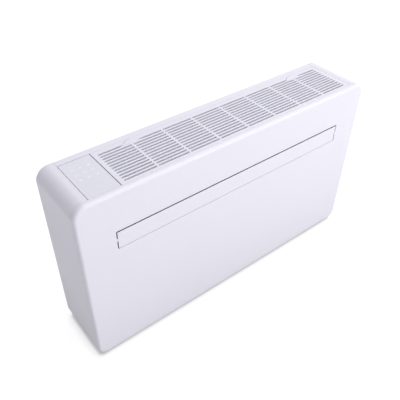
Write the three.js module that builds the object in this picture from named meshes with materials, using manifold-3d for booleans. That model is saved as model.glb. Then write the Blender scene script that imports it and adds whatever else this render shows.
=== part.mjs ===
// Floor standing monobloc air conditioner: a slim cabinet that stands against an outside wall and
// trades air with the outdoors through two round ports in its back, so it has no outdoor unit.
// Millimetres. X runs along the width, Y towards the wall, Z up from the floor.

import * as THREE from 'three';
import { mergeVertices } from 'three/addons/utils/BufferGeometryUtils.js';
import Module from 'manifold-3d';

const wasm = await Module();
wasm.setup();

// ---------------------------------------------------------------- driving dimensions

const CABINET_WIDTH = 1030;
const CABINET_DEPTH = 200;
const CABINET_HEIGHT = 585;
const FOOT_HEIGHT = 3;
const TOP_CORNER_RADIUS = 40;
const BOTTOM_CORNER_RADIUS = 16;
const SHELL = 3;
const SHEET = 1.5;
const SEAT_GAP = 0.3;
const SEAM = 0.4;

const FRONT_EDGE_RADIUS = 9;
const FRONT_PANEL_REAR = -83.3;
const SIDE_WRAP_TOP = 463.3;
const SIDE_WRAP_BOTTOM = 480;

const GRILLE_LEFT = -372;
const GRILLE_RIGHT = 462.3;
const GRILLE_FRONT = -82.9;
const GRILLE_REAR = 76.4;
const SLOT_ROWS = 12;
const SLOT_SECTIONS = 8;
const SLOT_PITCH_Y = 11.66;
const SLOT_PITCH_X = 101.2;
const SLOT_WIDTH = 6.6;
const SLOT_BRIDGE = 4.6;
const SLOT_FIELD_CENTRE = 43;
const SLOT_REAR_ROW = 57.9;
const SLAT_DEPTH = 8;

const FLAP_WIDTH = 818;
const FLAP_BOTTOM = 405.5;
const FLAP_TOP = 460.3;
const FLAP_GAP = 2.8;
const FLAP_THICKNESS = 7;
const FLAP_AXIS_Y = -91.5;

const ROTOR_RADIUS = 44;
const ROTOR_CENTRE = { y: 2, z: 424 };
const ROTOR_BLADES = 18;
const ROTOR_SECTIONS = 3;

const PORT_SPACING = 293;
const PORT_HEIGHT = 200;
const PORT_RADIUS = 81;
const PORT_FACETS = 30;
const SLEEVE_FACETS = 12;
const OUTDOOR_FAN_BLADES = 7;

const COMPRESSOR = { x: -400, y: 8, radius: 55 };

const HALF_WIDTH = CABINET_WIDTH / 2;
const FRONT = -CABINET_DEPTH / 2;
const BACK = CABINET_DEPTH / 2;
const FLAP_AXIS_Z = (FLAP_BOTTOM + FLAP_TOP) / 2;

// ---------------------------------------------------------------- finishes

const finish = (color, roughness, metalness = 0) =>
  new THREE.MeshStandardMaterial({ color, roughness, metalness });

const WHITE_ABS = finish(0xf0f0f4, 0.4);
const PANEL_GREY = finish(0xdcdfe8, 0.2);
const GALVANISED = finish(0xb9bcc0, 0.45, 0.8);
const FOAM = finish(0xe6e6e4, 0.9);
const GREY_PLASTIC = finish(0x9a9ca2, 0.6);
const DARK_PLASTIC = finish(0x2c2d31, 0.6);
const RUBBER = finish(0x232325, 0.9);
const ALUMINIUM = finish(0xc9ccd0, 0.4, 0.9);
const COPPER = finish(0xb8734b, 0.35, 1);
const BLACK_PAINT = finish(0x1f2022, 0.5, 0.3);
const NET = finish(0xc4c4cf, 0.8);
const BOARD_GREEN = finish(0x2f6b45, 0.5);

// ---------------------------------------------------------------- solids

const cabinet = new THREE.Group();
cabinet.position.z = FOOT_HEIGHT;

// A closed three.js geometry as a solid that can be joined and cut.
function solidOf(geometry) {
  const bare = geometry.index ? geometry.clone() : geometry;
  bare.deleteAttribute('normal');
  bare.deleteAttribute('uv');
  const merged = mergeVertices(bare, 1e-4);
  const vertProperties = new Float32Array(merged.attributes.position.array);
  const triVerts = new Uint32Array(merged.index.array);
  return new wasm.Manifold(new wasm.Mesh({ numProp: 3, vertProperties, triVerts }));
}

function geometryOf(solid) {
  const { vertProperties, triVerts } = solid.getMesh();
  const geometry = new THREE.BufferGeometry();
  geometry.setAttribute('position', new THREE.BufferAttribute(vertProperties, 3));
  geometry.setIndex(new THREE.BufferAttribute(triVerts, 1));
  geometry.computeVertexNormals();
  return geometry;
}

function place(name, solid, material) {
  const mesh = new THREE.Mesh(geometryOf(solid), material);
  mesh.name = name;
  cabinet.add(mesh);
}

const join = (first, ...others) => others.reduce((whole, piece) => whole.add(piece), first);
const cut = (first, ...others) => others.reduce((whole, piece) => whole.subtract(piece), first);

function block([x0, x1], [y0, y1], [z0, z1]) {
  const geometry = new THREE.BoxGeometry(x1 - x0, y1 - y0, z1 - z0);
  geometry.translate((x0 + x1) / 2, (y0 + y1) / 2, (z0 + z1) / 2);
  return solidOf(geometry);
}

// A drawing that is extruded along X lies in (Y, Z), one along Y in (X, Z), one along Z in (X, Y).
const DRAWING_FRAMES = {
  x: new THREE.Matrix4().makeBasis(
    new THREE.Vector3(0, 1, 0), new THREE.Vector3(0, 0, 1), new THREE.Vector3(1, 0, 0)),
  y: new THREE.Matrix4().makeBasis(
    new THREE.Vector3(1, 0, 0), new THREE.Vector3(0, 0, 1), new THREE.Vector3(0, -1, 0)),
  z: new THREE.Matrix4(),
};

function extrude(drawing, axis, [from, to], curveSegments = 8) {
  const shape = Array.isArray(drawing)
    ? new THREE.Shape(drawing.map(([u, v]) => new THREE.Vector2(u, v)))
    : drawing;
  const depth = to - from;
  const geometry = new THREE.ExtrudeGeometry(shape, { depth, bevelEnabled: false, curveSegments });
  geometry.translate(0, 0, axis === 'y' ? -to : from);
  geometry.applyMatrix4(DRAWING_FRAMES[axis]);
  return solidOf(geometry);
}

// A turned body: the profile is radius against height, and starts and ends on the axis.
function turned(profile, axis, segments = 32) {
  const points = profile.map(([radius, height]) => new THREE.Vector2(radius, height));
  const geometry = new THREE.LatheGeometry(points, segments);
  if (axis === 'z') geometry.rotateX(Math.PI / 2);
  if (axis === 'x') geometry.rotateZ(-Math.PI / 2);
  return solidOf(geometry);
}

const rod = (radius, axis, [from, to], segments = 24) =>
  turned([[0, from], [radius, from], [radius, to], [0, to]], axis, segments);

// A solid bar that runs straight between its points and bends round each corner.
function tube(points, radius, { sides = 8, bendSteps = 4, bendRadius = 14 } = {}) {
  const path = new THREE.CurvePath();
  let start = points[0];
  points.slice(1, -1).forEach((corner, index) => {
    const before = corner.clone().sub(start).setLength(bendRadius);
    const after = points[index + 2].clone().sub(corner).setLength(bendRadius);
    const bendStart = corner.clone().sub(before);
    const bendEnd = corner.clone().add(after);
    path.add(new THREE.LineCurve3(start, bendStart));
    path.add(new THREE.QuadraticBezierCurve3(bendStart, corner, bendEnd));
    start = bendEnd;
  });
  path.add(new THREE.LineCurve3(start, points.at(-1)));
  const rings = path.curves.flatMap((curve, index) => {
    const steps = curve.isLineCurve3 ? 1 : bendSteps;
    const firstStep = index === 0 ? 0 : 1;
    return Array.from({ length: steps + 1 - firstStep }, (_, step) => {
      const share = (firstStep + step) / steps;
      return ringAround(curve.getPoint(share), curve.getTangent(share), radius, sides);
    });
  });
  return loft(rings);
}

// A ring of points square to a direction, always starting on the same side of the tube.
function ringAround(centre, direction, radius, sides) {
  const across = new THREE.Vector3(0, 1, 0).cross(direction).normalize();
  const up = direction.clone().cross(across).normalize();
  return Array.from({ length: sides }, (_, index) => {
    const angle = (index / sides) * 2 * Math.PI;
    return centre.clone()
      .addScaledVector(across, radius * Math.cos(angle))
      .addScaledVector(up, radius * Math.sin(angle));
  });
}

// A solid through rings of equal point count, closed by a flat cap at each end.
function loft(rings) {
  const count = rings[0].length;
  const positions = rings.flat().flatMap((point) => point.toArray());
  const index = [];
  rings.slice(1).forEach((_, ring) => {
    for (let corner = 0; corner < count; corner += 1) {
      const next = (corner + 1) % count;
      const low = ring * count;
      const high = low + count;
      index.push(low + corner, low + next, high + next, low + corner, high + next, high + corner);
    }
  });
  const last = (rings.length - 1) * count;
  for (let corner = 1; corner < count - 1; corner += 1) {
    index.push(0, corner + 1, corner);
    index.push(last, last + corner, last + corner + 1);
  }
  const geometry = new THREE.BufferGeometry();
  geometry.setAttribute('position', new THREE.Float32BufferAttribute(positions, 3));
  geometry.setIndex(index);
  const solid = solidOf(geometry);
  return solid.volume() > 0 ? solid : solidOf(flipped(geometry));
}

function flipped(geometry) {
  const index = geometry.index.array;
  for (let corner = 0; corner < index.length; corner += 3) {
    [index[corner], index[corner + 1]] = [index[corner + 1], index[corner]];
  }
  return geometry;
}

// ---------------------------------------------------------------- cabinet outline

const TOP_CORNER_STEPS = 7;
const BOTTOM_CORNER_STEPS = 4;

// The cabinet seen from the front, drawn in by `inset`: wide arcs on top, tight ones below.
function cabinetOutline(inset) {
  const corners = [
    { radius: TOP_CORNER_RADIUS, top: true, side: 1, from: 0 },
    { radius: TOP_CORNER_RADIUS, top: true, side: -1, from: 90 },
    { radius: BOTTOM_CORNER_RADIUS, top: false, side: -1, from: 180 },
    { radius: BOTTOM_CORNER_RADIUS, top: false, side: 1, from: 270 },
  ];
  return corners.flatMap(({ radius, top, side, from }) => {
    const steps = top ? TOP_CORNER_STEPS : BOTTOM_CORNER_STEPS;
    const centreX = side * (HALF_WIDTH - radius);
    const centreZ = top ? CABINET_HEIGHT - radius : radius;
    return Array.from({ length: steps + 1 }, (_, step) => {
      const angle = THREE.MathUtils.degToRad(from + (90 * step) / steps);
      const reach = radius - inset;
      return [centreX + reach * Math.cos(angle), centreZ + reach * Math.sin(angle)];
    });
  });
}

const outlineRing = (inset, y) => cabinetOutline(inset).map(([x, z]) => new THREE.Vector3(x, y, z));

// ---------------------------------------------------------------- front panel

const windowHalf = FLAP_WIDTH / 2 + FLAP_GAP;
const windowBottom = FLAP_BOTTOM - FLAP_GAP;
const windowTop = FLAP_TOP + FLAP_GAP;
const flapStubRadius = 2.5;

function frontPanel() {
  const roundSteps = 4;
  const rings = Array.from({ length: roundSteps + 1 }, (_, step) => {
    const angle = (step / roundSteps) * (Math.PI / 2);
    const inset = FRONT_EDGE_RADIUS * (1 - Math.sin(angle));
    return outlineRing(inset, FRONT + FRONT_EDGE_RADIUS * (1 - Math.cos(angle)));
  });
  rings.push(outlineRing(0, FRONT_PANEL_REAR));
  const outside = loft(rings);
  const hollow = loft([outlineRing(SHELL, FRONT + SHELL), outlineRing(SHELL, FRONT_PANEL_REAR + 1)]);
  let shell = cut(outside, hollow);

  const skinInside = FRONT + SHELL - 0.5;
  const mouthRear = FRONT_PANEL_REAR - 0.2;
  const mouthWall = block(
    [-windowHalf - SHELL, windowHalf + SHELL],
    [skinInside, mouthRear],
    [windowBottom - SHELL, windowTop + SHELL]);
  const ribDepth = [skinInside, FRONT + 11];
  const uprights = [-455, -300, -100, 100, 300, 455].map((x) =>
    block([x - 1, x + 1], ribDepth, [SHELL - 0.5, windowBottom - SHELL + 0.5]));
  const crossRibs = [110, 230, 340].map((z) =>
    block([-HALF_WIDTH + SHELL - 0.5, HALF_WIDTH - SHELL + 0.5], ribDepth, [z - 1, z + 1]));
  shell = join(shell, mouthWall, ...uprights, ...crossRibs);

  const mouthDepth = [FRONT - 1, FRONT_PANEL_REAR + 1];
  const mouth = block([-windowHalf, windowHalf], mouthDepth, [windowBottom, windowTop]);
  const stubHole = rod(flapStubRadius + 0.4, 'x', [-windowHalf - 10, windowHalf + 10], 16)
    .translate([0, FLAP_AXIS_Y, FLAP_AXIS_Z]);
  return cut(shell, mouth, stubHole);
}

place('front_panel', frontPanel(), WHITE_ABS);

// ---------------------------------------------------------------- side panels and rear rail

// One strip of wall that runs down the end and wraps over the top corner and under the bottom one.
function sidePanelDrawing() {
  const wall = (inset) => {
    const leftTop = TOP_CORNER_STEPS + 1;
    const leftEnd = cabinetOutline(inset).slice(leftTop, 2 * leftTop + BOTTOM_CORNER_STEPS + 1);
    return [[-SIDE_WRAP_TOP, CABINET_HEIGHT - inset], ...leftEnd, [-SIDE_WRAP_BOTTOM, inset]];
  };
  return [...wall(0), ...wall(SHELL).reverse()];
}

function sidePanel() {
  const front = FRONT_PANEL_REAR + SEAM;
  const wrap = extrude(sidePanelDrawing(), 'y', [front, BACK]);
  const inner = -HALF_WIDTH + SHELL;
  const ribs = [120, 240, 360, 480].map((z) =>
    block([inner - 0.5, inner + 4], [front + 6, BACK - 12], [z - 1, z + 1]));
  return join(wrap, ...ribs);
}

place('side_panel_left', sidePanel(), WHITE_ABS);
place('side_panel_right', sidePanel().mirror([1, 0, 0]), WHITE_ABS);

const railHalf = SIDE_WRAP_TOP - SEAM;
const railFront = GRILLE_REAR + SEAM;
const railLip = 25;
const railDrawing = [
  [railFront, CABINET_HEIGHT], [railFront, CABINET_HEIGHT - 8], [railFront + 2, CABINET_HEIGHT - 8],
  [railFront + 2, CABINET_HEIGHT - SHELL], [BACK - SHELL, CABINET_HEIGHT - SHELL],
  [BACK - SHELL, CABINET_HEIGHT - railLip], [BACK, CABINET_HEIGHT - railLip], [BACK, CABINET_HEIGHT],
];
place('top_rear_rail', extrude(railDrawing.reverse(), 'x', [-railHalf, railHalf]), WHITE_ABS);

// ---------------------------------------------------------------- back plate, base and feet

const backInside = BACK - 2;
const portXs = [-PORT_SPACING / 2, PORT_SPACING / 2];
const collarRadius = PORT_RADIUS + SHELL;
const inletPoint = { x: 430, z: 70, radius: 11 };
const drainPoint = { x: -470, z: 44, radius: 9 };

function backPlate() {
  const top = CABINET_HEIGHT - railLip - SEAT_GAP;
  const inset = SHELL + SEAT_GAP;
  const through = [backInside - 1, BACK + 1];
  const underRail = block([-railHalf - SEAT_GAP, railHalf + SEAT_GAP], through, [top, CABINET_HEIGHT]);
  const sheet = cut(loft([outlineRing(inset, backInside), outlineRing(inset, BACK)]), underRail);
  const holeFor = ({ x, z, radius }, facets) =>
    rod(radius + SEAT_GAP, 'y', through, facets).translate([x, 0, z]);
  const ports = portXs.map((x) => holeFor({ x, z: PORT_HEIGHT, radius: collarRadius }, PORT_FACETS));
  const sleeves = [inletPoint, drainPoint].map((spot) => holeFor(spot, SLEEVE_FACETS));
  const hookSlots = [-380, -130, 130, 380].map((x) => block([x - 20, x + 20], through, [520, 526]));
  return cut(sheet, ...ports, ...sleeves, ...hookSlots);
}

place('back_plate', backPlate(), GALVANISED);

const panHalf = SIDE_WRAP_BOTTOM - SEAT_GAP;
const panFront = FRONT_PANEL_REAR + 0.8;
const panRear = backInside - SEAT_GAP;
const panWall = 28;
const panFloor = 2;

function basePan() {
  const outside = block([-panHalf, panHalf], [panFront, panRear], [0, panWall]);
  const inside = block(
    [-panHalf + SHEET, panHalf - SHEET], [panFront + SHEET, panRear - SHEET], [panFloor, panWall + 1]);
  const drainSlots = [-60, 0, 60].map((x) => block([x - 15, x + 15], [60, 66], [-1, panFloor + 1]));
  return cut(outside, inside, ...drainSlots);
}

place('base_pan', basePan(), GALVANISED);

const footSize = { length: 70, width: 24 };
const footSpots = {
  front_left: [-400, -62],
  front_right: [400, -62],
  rear_left: [-400, 76],
  rear_right: [400, 76],
};
Object.entries(footSpots).forEach(([spot, [x, y]]) => {
  const round = footSize.width / 2;
  const reach = footSize.length / 2 - round;
  const pad = new THREE.Shape();
  pad.absarc(x + reach, y, round, -Math.PI / 2, Math.PI / 2);
  pad.absarc(x - reach, y, round, Math.PI / 2, (3 * Math.PI) / 2);
  place(`foot_${spot}`, extrude(pad, 'z', [-FOOT_HEIGHT, -SEAT_GAP], 4), RUBBER);
});

// ---------------------------------------------------------------- intake cassette: grille and filter

const slotLength = SLOT_PITCH_X - SLOT_BRIDGE;
const sectionX = (section) => SLOT_FIELD_CENTRE + (section - (SLOT_SECTIONS - 1) / 2) * SLOT_PITCH_X;
const rowY = (row) => SLOT_REAR_ROW - row * SLOT_PITCH_Y;
const tabXs = [sectionX(0) + SLOT_PITCH_X / 2, sectionX(SLOT_SECTIONS - 1) - SLOT_PITCH_X / 2];
const rearRowFront = SLOT_REAR_ROW - SLOT_WIDTH / 2;
const notch = { half: 41, end: 6, front: rearRowFront, peak: 72.5 };
const tab = { half: 38.5, end: 1.5, front: rearRowFront + 0.5, peak: 71.9 };
const tabShift = 0.9;
const skirtBottom = CABINET_HEIGHT - 15;

// A slot with its corners taken off, as the mould leaves them.
function slotDrawing(x, y) {
  const [halfLength, halfWidth, corner] = [slotLength / 2, SLOT_WIDTH / 2, 2];
  return [
    [x - halfLength, y - halfWidth + corner], [x - halfLength + corner, y - halfWidth],
    [x + halfLength - corner, y - halfWidth], [x + halfLength, y - halfWidth + corner],
    [x + halfLength, y + halfWidth - corner], [x + halfLength - corner, y + halfWidth],
    [x - halfLength + corner, y + halfWidth], [x - halfLength, y + halfWidth - corner],
  ];
}

// A low bell: straight along the front, with a crown that swells towards the wall and dies away
// at both ends, where it is cut off square.
function bellDrawing(x, { half, end, front, peak }) {
  const [steps, least] = [14, 1.2];
  const crown = Array.from({ length: steps + 1 }, (_, step) => {
    const along = (half - end) * (1 - (2 * step) / steps);
    const swell = (peak - front) * (1 + Math.cos((Math.PI * along) / half)) / 2;
    return [x + along, front + Math.max(swell, least)];
  });
  return [[x - half + end, front], [x + half - end, front], ...crown];
}

function intakeGrille() {
  const through = [skirtBottom - 1, CABINET_HEIGHT + 1];
  const depth = [GRILLE_FRONT, GRILLE_REAR];
  const plate = block([GRILLE_LEFT, GRILLE_RIGHT], depth, [skirtBottom, CABINET_HEIGHT]);
  const underside = block(
    [GRILLE_LEFT + SHELL, GRILLE_RIGHT - SHELL], [GRILLE_FRONT + SHELL, GRILLE_REAR - SHELL],
    [skirtBottom - 1, CABINET_HEIGHT - SLAT_DEPTH]);
  const slots = [];
  for (let row = 0; row < SLOT_ROWS; row += 1) {
    for (let section = 0; section < SLOT_SECTIONS; section += 1) {
      slots.push(extrude(slotDrawing(sectionX(section), rowY(row)), 'z', through));
    }
  }
  const notches = tabXs.map((x) => extrude(bellDrawing(x, notch), 'z', through));
  return cut(plate, underside, ...slots, ...notches);
}

place('intake_grille', intakeGrille(), WHITE_ABS);

const slatBottom = CABINET_HEIGHT - SLAT_DEPTH;
const filterX = [GRILLE_LEFT + SHELL + 1, GRILLE_RIGHT - SHELL - 1];
const filterY = [GRILLE_FRONT + SHELL + 1, GRILLE_REAR - SHELL - 1];
const filterZ = [skirtBottom + 1, slatBottom - SEAT_GAP];

function filterFrame() {
  const frame = block(filterX, filterY, filterZ);
  const [border, bar, rearBorder] = [6, 4, 24];
  const bayPitch = (filterX[1] - filterX[0] - 2 * border + bar) / SLOT_SECTIONS;
  const bayDepth = (filterY[1] - filterY[0] - border - rearBorder - bar) / 2;
  const through = [filterZ[0] - 1, filterZ[1] + 1];
  const windows = [];
  for (let bay = 0; bay < SLOT_SECTIONS; bay += 1) {
    for (let bank = 0; bank < 2; bank += 1) {
      const left = filterX[0] + border + bay * bayPitch;
      const front = filterY[0] + border + bank * (bayDepth + bar);
      windows.push(block([left, left + bayPitch - bar], [front, front + bayDepth], through));
    }
  }
  const tabHeight = [filterZ[1] - 1, CABINET_HEIGHT];
  const tabs = tabXs.map((x) => extrude(bellDrawing(x + tabShift, tab), 'z', tabHeight));
  return join(cut(frame, ...windows), ...tabs);
}

place('filter_frame', filterFrame(), WHITE_ABS);

const netThickness = 0.8;
const netZ = [filterZ[0] - SEAT_GAP - netThickness, filterZ[0] - SEAT_GAP];
const filterNet = block([filterX[0] + 2, filterX[1] - 2], [filterY[0] + 2, filterY[1] - 18], netZ);
place('filter_net', filterNet, NET);

// ---------------------------------------------------------------- control panel

const panelX = [-462.1, -375];
const panelY = [GRILLE_FRONT + 0.2, 75.5];
const glassThickness = 2.5;
const trayZ = [CABINET_HEIGHT - 14, CABINET_HEIGHT - glassThickness - SEAT_GAP];

function roundedPlate([x0, x1], [y0, y1], corner) {
  const plate = new THREE.Shape();
  plate.absarc(x1 - corner, y1 - corner, corner, 0, Math.PI / 2);
  plate.absarc(x0 + corner, y1 - corner, corner, Math.PI / 2, Math.PI);
  plate.absarc(x0 + corner, y0 + corner, corner, Math.PI, (3 * Math.PI) / 2);
  plate.absarc(x1 - corner, y0 + corner, corner, (3 * Math.PI) / 2, 2 * Math.PI);
  return plate;
}

const glassZ = [CABINET_HEIGHT - glassThickness, CABINET_HEIGHT];
place('touch_panel', extrude(roundedPlate(panelX, panelY, 2), 'z', glassZ, 3), PANEL_GREY);

function controlTray() {
  const outside = block([panelX[0] + 1, panelX[1] - 1], [panelY[0] + 1, panelY[1] - 1], trayZ);
  const inside = block(
    [panelX[0] + 3, panelX[1] - 3], [panelY[0] + 3, panelY[1] - 3], [trayZ[0] + 2, trayZ[1] + 1]);
  return cut(outside, inside);
}

place('control_tray', controlTray(), DARK_PLASTIC);

const boardZ = trayZ[0] + 2 + SEAT_GAP;

function controlBoard() {
  const board = block(
    [panelX[0] + 6, panelX[1] - 6], [panelY[0] + 6, panelY[1] - 6], [boardZ, boardZ + 1.6]);
  const chip = block([-425, -411], [-30, -16], [boardZ + 1, boardZ + 4]);
  const plug = block([-440, -400], [52, 60], [boardZ + 1, boardZ + 7]);
  return join(board, chip, plug);
}

place('control_board', controlBoard(), BOARD_GREEN);

// ---------------------------------------------------------------- air duct under the filter

const plenumTop = skirtBottom - SEAT_GAP;
const plenumFloor = 480;
const plenumX = [-370, 460];
const plenumY = [-80, 76];
const ductWindow = { x: [-366, 408], y: [-45, 71] };

function intakePlenum() {
  const outside = block(plenumX, plenumY, [plenumFloor, plenumTop]);
  const inside = block(
    [plenumX[0] + SHELL, plenumX[1] - SHELL], [plenumY[0] + SHELL, plenumY[1] - SHELL],
    [plenumFloor + SHELL, plenumTop + 1]);
  const opening = block(ductWindow.x, ductWindow.y, [plenumFloor - 1, plenumFloor + SHELL + 1]);
  return cut(outside, inside, opening);
}

place('intake_plenum', intakePlenum(), GREY_PLASTIC);

// ---------------------------------------------------------------- evaporator and drip tray

const coil = { left: -350, right: 436, y: -2, z: 528, width: 134, thickness: 34, tilt: 14 };

// A fin pack: a block whose long faces are combed by shallow grooves, between two end plates.
function finPack(length, width, thickness, grooves) {
  const span = (size) => [-size / 2, size / 2];
  const core = block(span(length), span(width), span(thickness));
  const pitch = length / grooves;
  const combDepth = [thickness / 2 - 2, thickness / 2 + 1];
  const combs = Array.from({ length: grooves }, (_, groove) => {
    const x = -length / 2 + (groove + 0.5) * pitch;
    const comb = block([x - pitch * 0.22, x + pitch * 0.22], span(width + 2), combDepth);
    return [comb, comb.mirror([0, 0, 1])];
  });
  return cut(core, ...combs.flat());
}

// The U-shaped end of a coil tube: half a ring that joins two tube rows.
function returnBend(radius, tubeRadius) {
  const steps = 3;
  const rings = Array.from({ length: steps + 1 }, (_, step) => {
    const angle = -Math.PI / 2 + (step / steps) * Math.PI;
    const centre = new THREE.Vector3(radius * Math.cos(angle), radius * Math.sin(angle), 0);
    const direction = new THREE.Vector3(-Math.sin(angle), Math.cos(angle), 0);
    const side = new THREE.Vector3(0, 0, 1).cross(direction);
    return Array.from({ length: 6 }, (_unused, corner) => {
      const turn = (corner / 6) * 2 * Math.PI;
      return centre.clone()
        .addScaledVector(side, tubeRadius * Math.cos(turn))
        .add(new THREE.Vector3(0, 0, tubeRadius * Math.sin(turn)));
    });
  });
  return loft(rings);
}

function evaporator() {
  const length = coil.right - coil.left;
  const centreX = (coil.left + coil.right) / 2;
  const bends = [-42, -14, 14, 42].map((y) => returnBend(9, 4).translate([length / 2 - 0.5, y, 0]));
  const pack = join(finPack(length, coil.width, coil.thickness, 9), ...bends)
    .rotate([coil.tilt, 0, 0])
    .translate([centreX, coil.y, coil.z]);
  const plateZ = [plenumFloor + SHELL + SEAT_GAP, coil.z + 34];
  const plates = [coil.left, coil.right - SHEET].map((x) =>
    block([x, x + SHEET], [plenumY[0] + 5, plenumY[1] - 5], plateZ));
  return join(pack, ...plates);
}

place('evaporator', evaporator(), ALUMINIUM);

function dripTray() {
  const x = [coil.left + 3, coil.right - 3];
  const y = [plenumY[0] + SHELL + 0.5, ductWindow.y[0] - 2];
  const bottom = plenumFloor + SHELL + SEAT_GAP;
  const outside = block(x, y, [bottom, bottom + 9]);
  const trough = block([x[0] + 2, x[1] - 2], [y[0] + 2, y[1] - 2], [bottom + 2, bottom + 10]);
  return cut(outside, trough);
}

place('drip_tray', dripTray(), FOAM);

// ---------------------------------------------------------------- blower: housing, rotor and motor

// The guide vanes of the outlet stand behind the circle that the flap's edges swing through.
const GUIDE_VANES = 9;
const VANE_PITCH = 82;
const flapSweep = Math.hypot(FRONT - FLAP_AXIS_Y, FLAP_AXIS_Z - FLAP_BOTTOM);
const vaneDepth = [FLAP_AXIS_Y + flapSweep + SEAT_GAP, -46];
const housingHalf = 415;
const cavityHalf = windowHalf;
const housingZ = [358, plenumFloor - SEAT_GAP];
const housingY = [FRONT_PANEL_REAR + 0.6, 90];

// The air path in section: over the drip edge, round the rotor, and out along the mouth.
function airPath() {
  const { y, z } = ROTOR_CENTRE;
  const path = new THREE.Shape();
  path.moveTo(housingY[0] - 1, windowBottom);
  path.quadraticCurveTo(-50, windowBottom - 2, -34, z - ROTOR_RADIUS - 2);
  const steps = 12;
  for (let step = 0; step <= steps; step += 1) {
    const share = step / steps;
    const angle = THREE.MathUtils.degToRad(-105 + 155 * share);
    const reach = ROTOR_RADIUS + 14 - 8 * share;
    path.lineTo(y + reach * Math.cos(angle), z + reach * Math.sin(angle));
  }
  path.lineTo(ductWindow.y[1], housingZ[1] - 6);
  path.lineTo(ductWindow.y[0], housingZ[1] - 6);
  path.lineTo(y - (ROTOR_RADIUS + 4) * Math.cos(0.6), z + (ROTOR_RADIUS + 4) * Math.sin(0.6));
  path.quadraticCurveTo(-52, windowTop - 16, housingY[0] - 1, windowTop);
  return path;
}

function blowerHousing() {
  const body = block([-housingHalf, housingHalf], housingY, housingZ);
  const path = extrude(airPath(), 'x', [-cavityHalf, cavityHalf], 6);
  const throat = block(ductWindow.x, ductWindow.y, [housingZ[1] - 7, housingZ[1] + 1]);
  const shaftHole = rod(9, 'x', [-housingHalf - 5, housingHalf + 5], 16)
    .translate([0, ROTOR_CENTRE.y, ROTOR_CENTRE.z]);
  const vanes = Array.from({ length: GUIDE_VANES }, (_, index) => {
    const x = (index - (GUIDE_VANES - 1) / 2) * VANE_PITCH;
    return block([x - 1, x + 1], vaneDepth, [windowBottom - 6, windowTop + 2]);
  });
  return join(cut(body, path, throat, shaftHole), ...vanes);
}

place('blower_housing', blowerHousing(), FOAM);

const rotorHalf = 402;
const discThickness = 3;

// One forward-leaning blade of the drum, in section.
function bladeDrawing(angle) {
  const at = (radius, turn) => [radius * Math.cos(angle + turn), radius * Math.sin(angle + turn)];
  const [outer, inner] = [ROTOR_RADIUS - 0.6, ROTOR_RADIUS - 12];
  const [lean, thickness] = [0.16, 0.05];
  return [at(outer, 0), at(outer, thickness), at(inner, lean + thickness), at(inner, lean - 0.01)];
}

function blowerRotor() {
  const sectionLength = (2 * rotorHalf) / ROTOR_SECTIONS;
  const discs = Array.from({ length: ROTOR_SECTIONS + 1 }, (_, index) => {
    const x = -rotorHalf + index * sectionLength;
    const from = Math.min(Math.max(x - discThickness / 2, -rotorHalf), rotorHalf - discThickness);
    return rod(ROTOR_RADIUS, 'x', [from, from + discThickness], 20);
  });
  const blades = Array.from({ length: ROTOR_BLADES }, (_, index) => {
    const angle = (index / ROTOR_BLADES) * 2 * Math.PI;
    return extrude(bladeDrawing(angle), 'x', [-rotorHalf + 1, rotorHalf - 1]);
  });
  const leftShaft = rod(5, 'x', [-rotorHalf - 12, -rotorHalf + 1], 12);
  const rightShaft = rod(5, 'x', [rotorHalf - 1, housingHalf - 1], 12);
  return join(discs[0], ...discs.slice(1), ...blades, leftShaft, rightShaft)
    .translate([0, ROTOR_CENTRE.y, ROTOR_CENTRE.z]);
}

place('blower_rotor', blowerRotor(), GREY_PLASTIC);

const bearingEnds = [-housingHalf + 1, -cavityHalf + 1];
const bearingProfile = [
  [5.4, bearingEnds[0]], [8.7, bearingEnds[0]], [8.7, bearingEnds[1]],
  [5.4, bearingEnds[1]], [5.4, bearingEnds[0]],
];
const bearing = turned(bearingProfile, 'x', 16).translate([0, ROTOR_CENTRE.y, ROTOR_CENTRE.z]);
place('blower_bearing', bearing, RUBBER);

function blowerMotor() {
  const start = housingHalf + SEAT_GAP;
  const profile = [
    [0, start], [26, start], [38, start + 6], [38, start + 40], [30, start + 46],
    [12, start + 46], [12, start + 52], [0, start + 52],
  ];
  const can = turned(profile, 'x', 16);
  const ears = [-1, 1].map((side) =>
    block([start, start + 3], [side > 0 ? 20 : -52, side > 0 ? 52 : -20], [-9, 9]));
  return join(can, ...ears).translate([0, ROTOR_CENTRE.y, ROTOR_CENTRE.z]);
}

place('blower_motor', blowerMotor(), DARK_PLASTIC);

// ---------------------------------------------------------------- outlet flap and its drive

function flapDrawing() {
  const edge = 1.5;
  const flap = new THREE.Shape();
  const rear = FRONT + FLAP_THICKNESS;
  flap.moveTo(FRONT, FLAP_BOTTOM + edge);
  flap.quadraticCurveTo(FRONT, FLAP_BOTTOM, FRONT + edge, FLAP_BOTTOM);
  flap.lineTo(FRONT + 2.4, FLAP_BOTTOM);
  flap.quadraticCurveTo(rear + 5, FLAP_AXIS_Z, FRONT + 2.4, FLAP_TOP);
  flap.lineTo(FRONT + edge, FLAP_TOP);
  flap.quadraticCurveTo(FRONT, FLAP_TOP, FRONT, FLAP_TOP - edge);
  return flap;
}

function outletFlap() {
  const half = FLAP_WIDTH / 2;
  const leaf = extrude(flapDrawing(), 'x', [-half, half], 6);
  const onAxis = (radius, from, to) => {
    const right = rod(radius, 'x', [from, to], 14).translate([0, FLAP_AXIS_Y, FLAP_AXIS_Z]);
    return [right, right.mirror([1, 0, 0])];
  };
  const knuckles = onAxis(4.6, half - 14, half);
  const stubs = onAxis(flapStubRadius, half - 7, windowHalf + 2.6);
  return join(leaf, ...knuckles, ...stubs);
}

place('outlet_flap', outletFlap(), WHITE_ABS);

function flapMotor() {
  const start = windowHalf + SHELL + SEAT_GAP;
  const gearbox = block([start, start + 9], [-5, 5], [-6, 6]);
  const can = rod(5, 'x', [start + 8, start + 24], 16);
  return join(gearbox, can).translate([0, FLAP_AXIS_Y, FLAP_AXIS_Z]);
}

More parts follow.
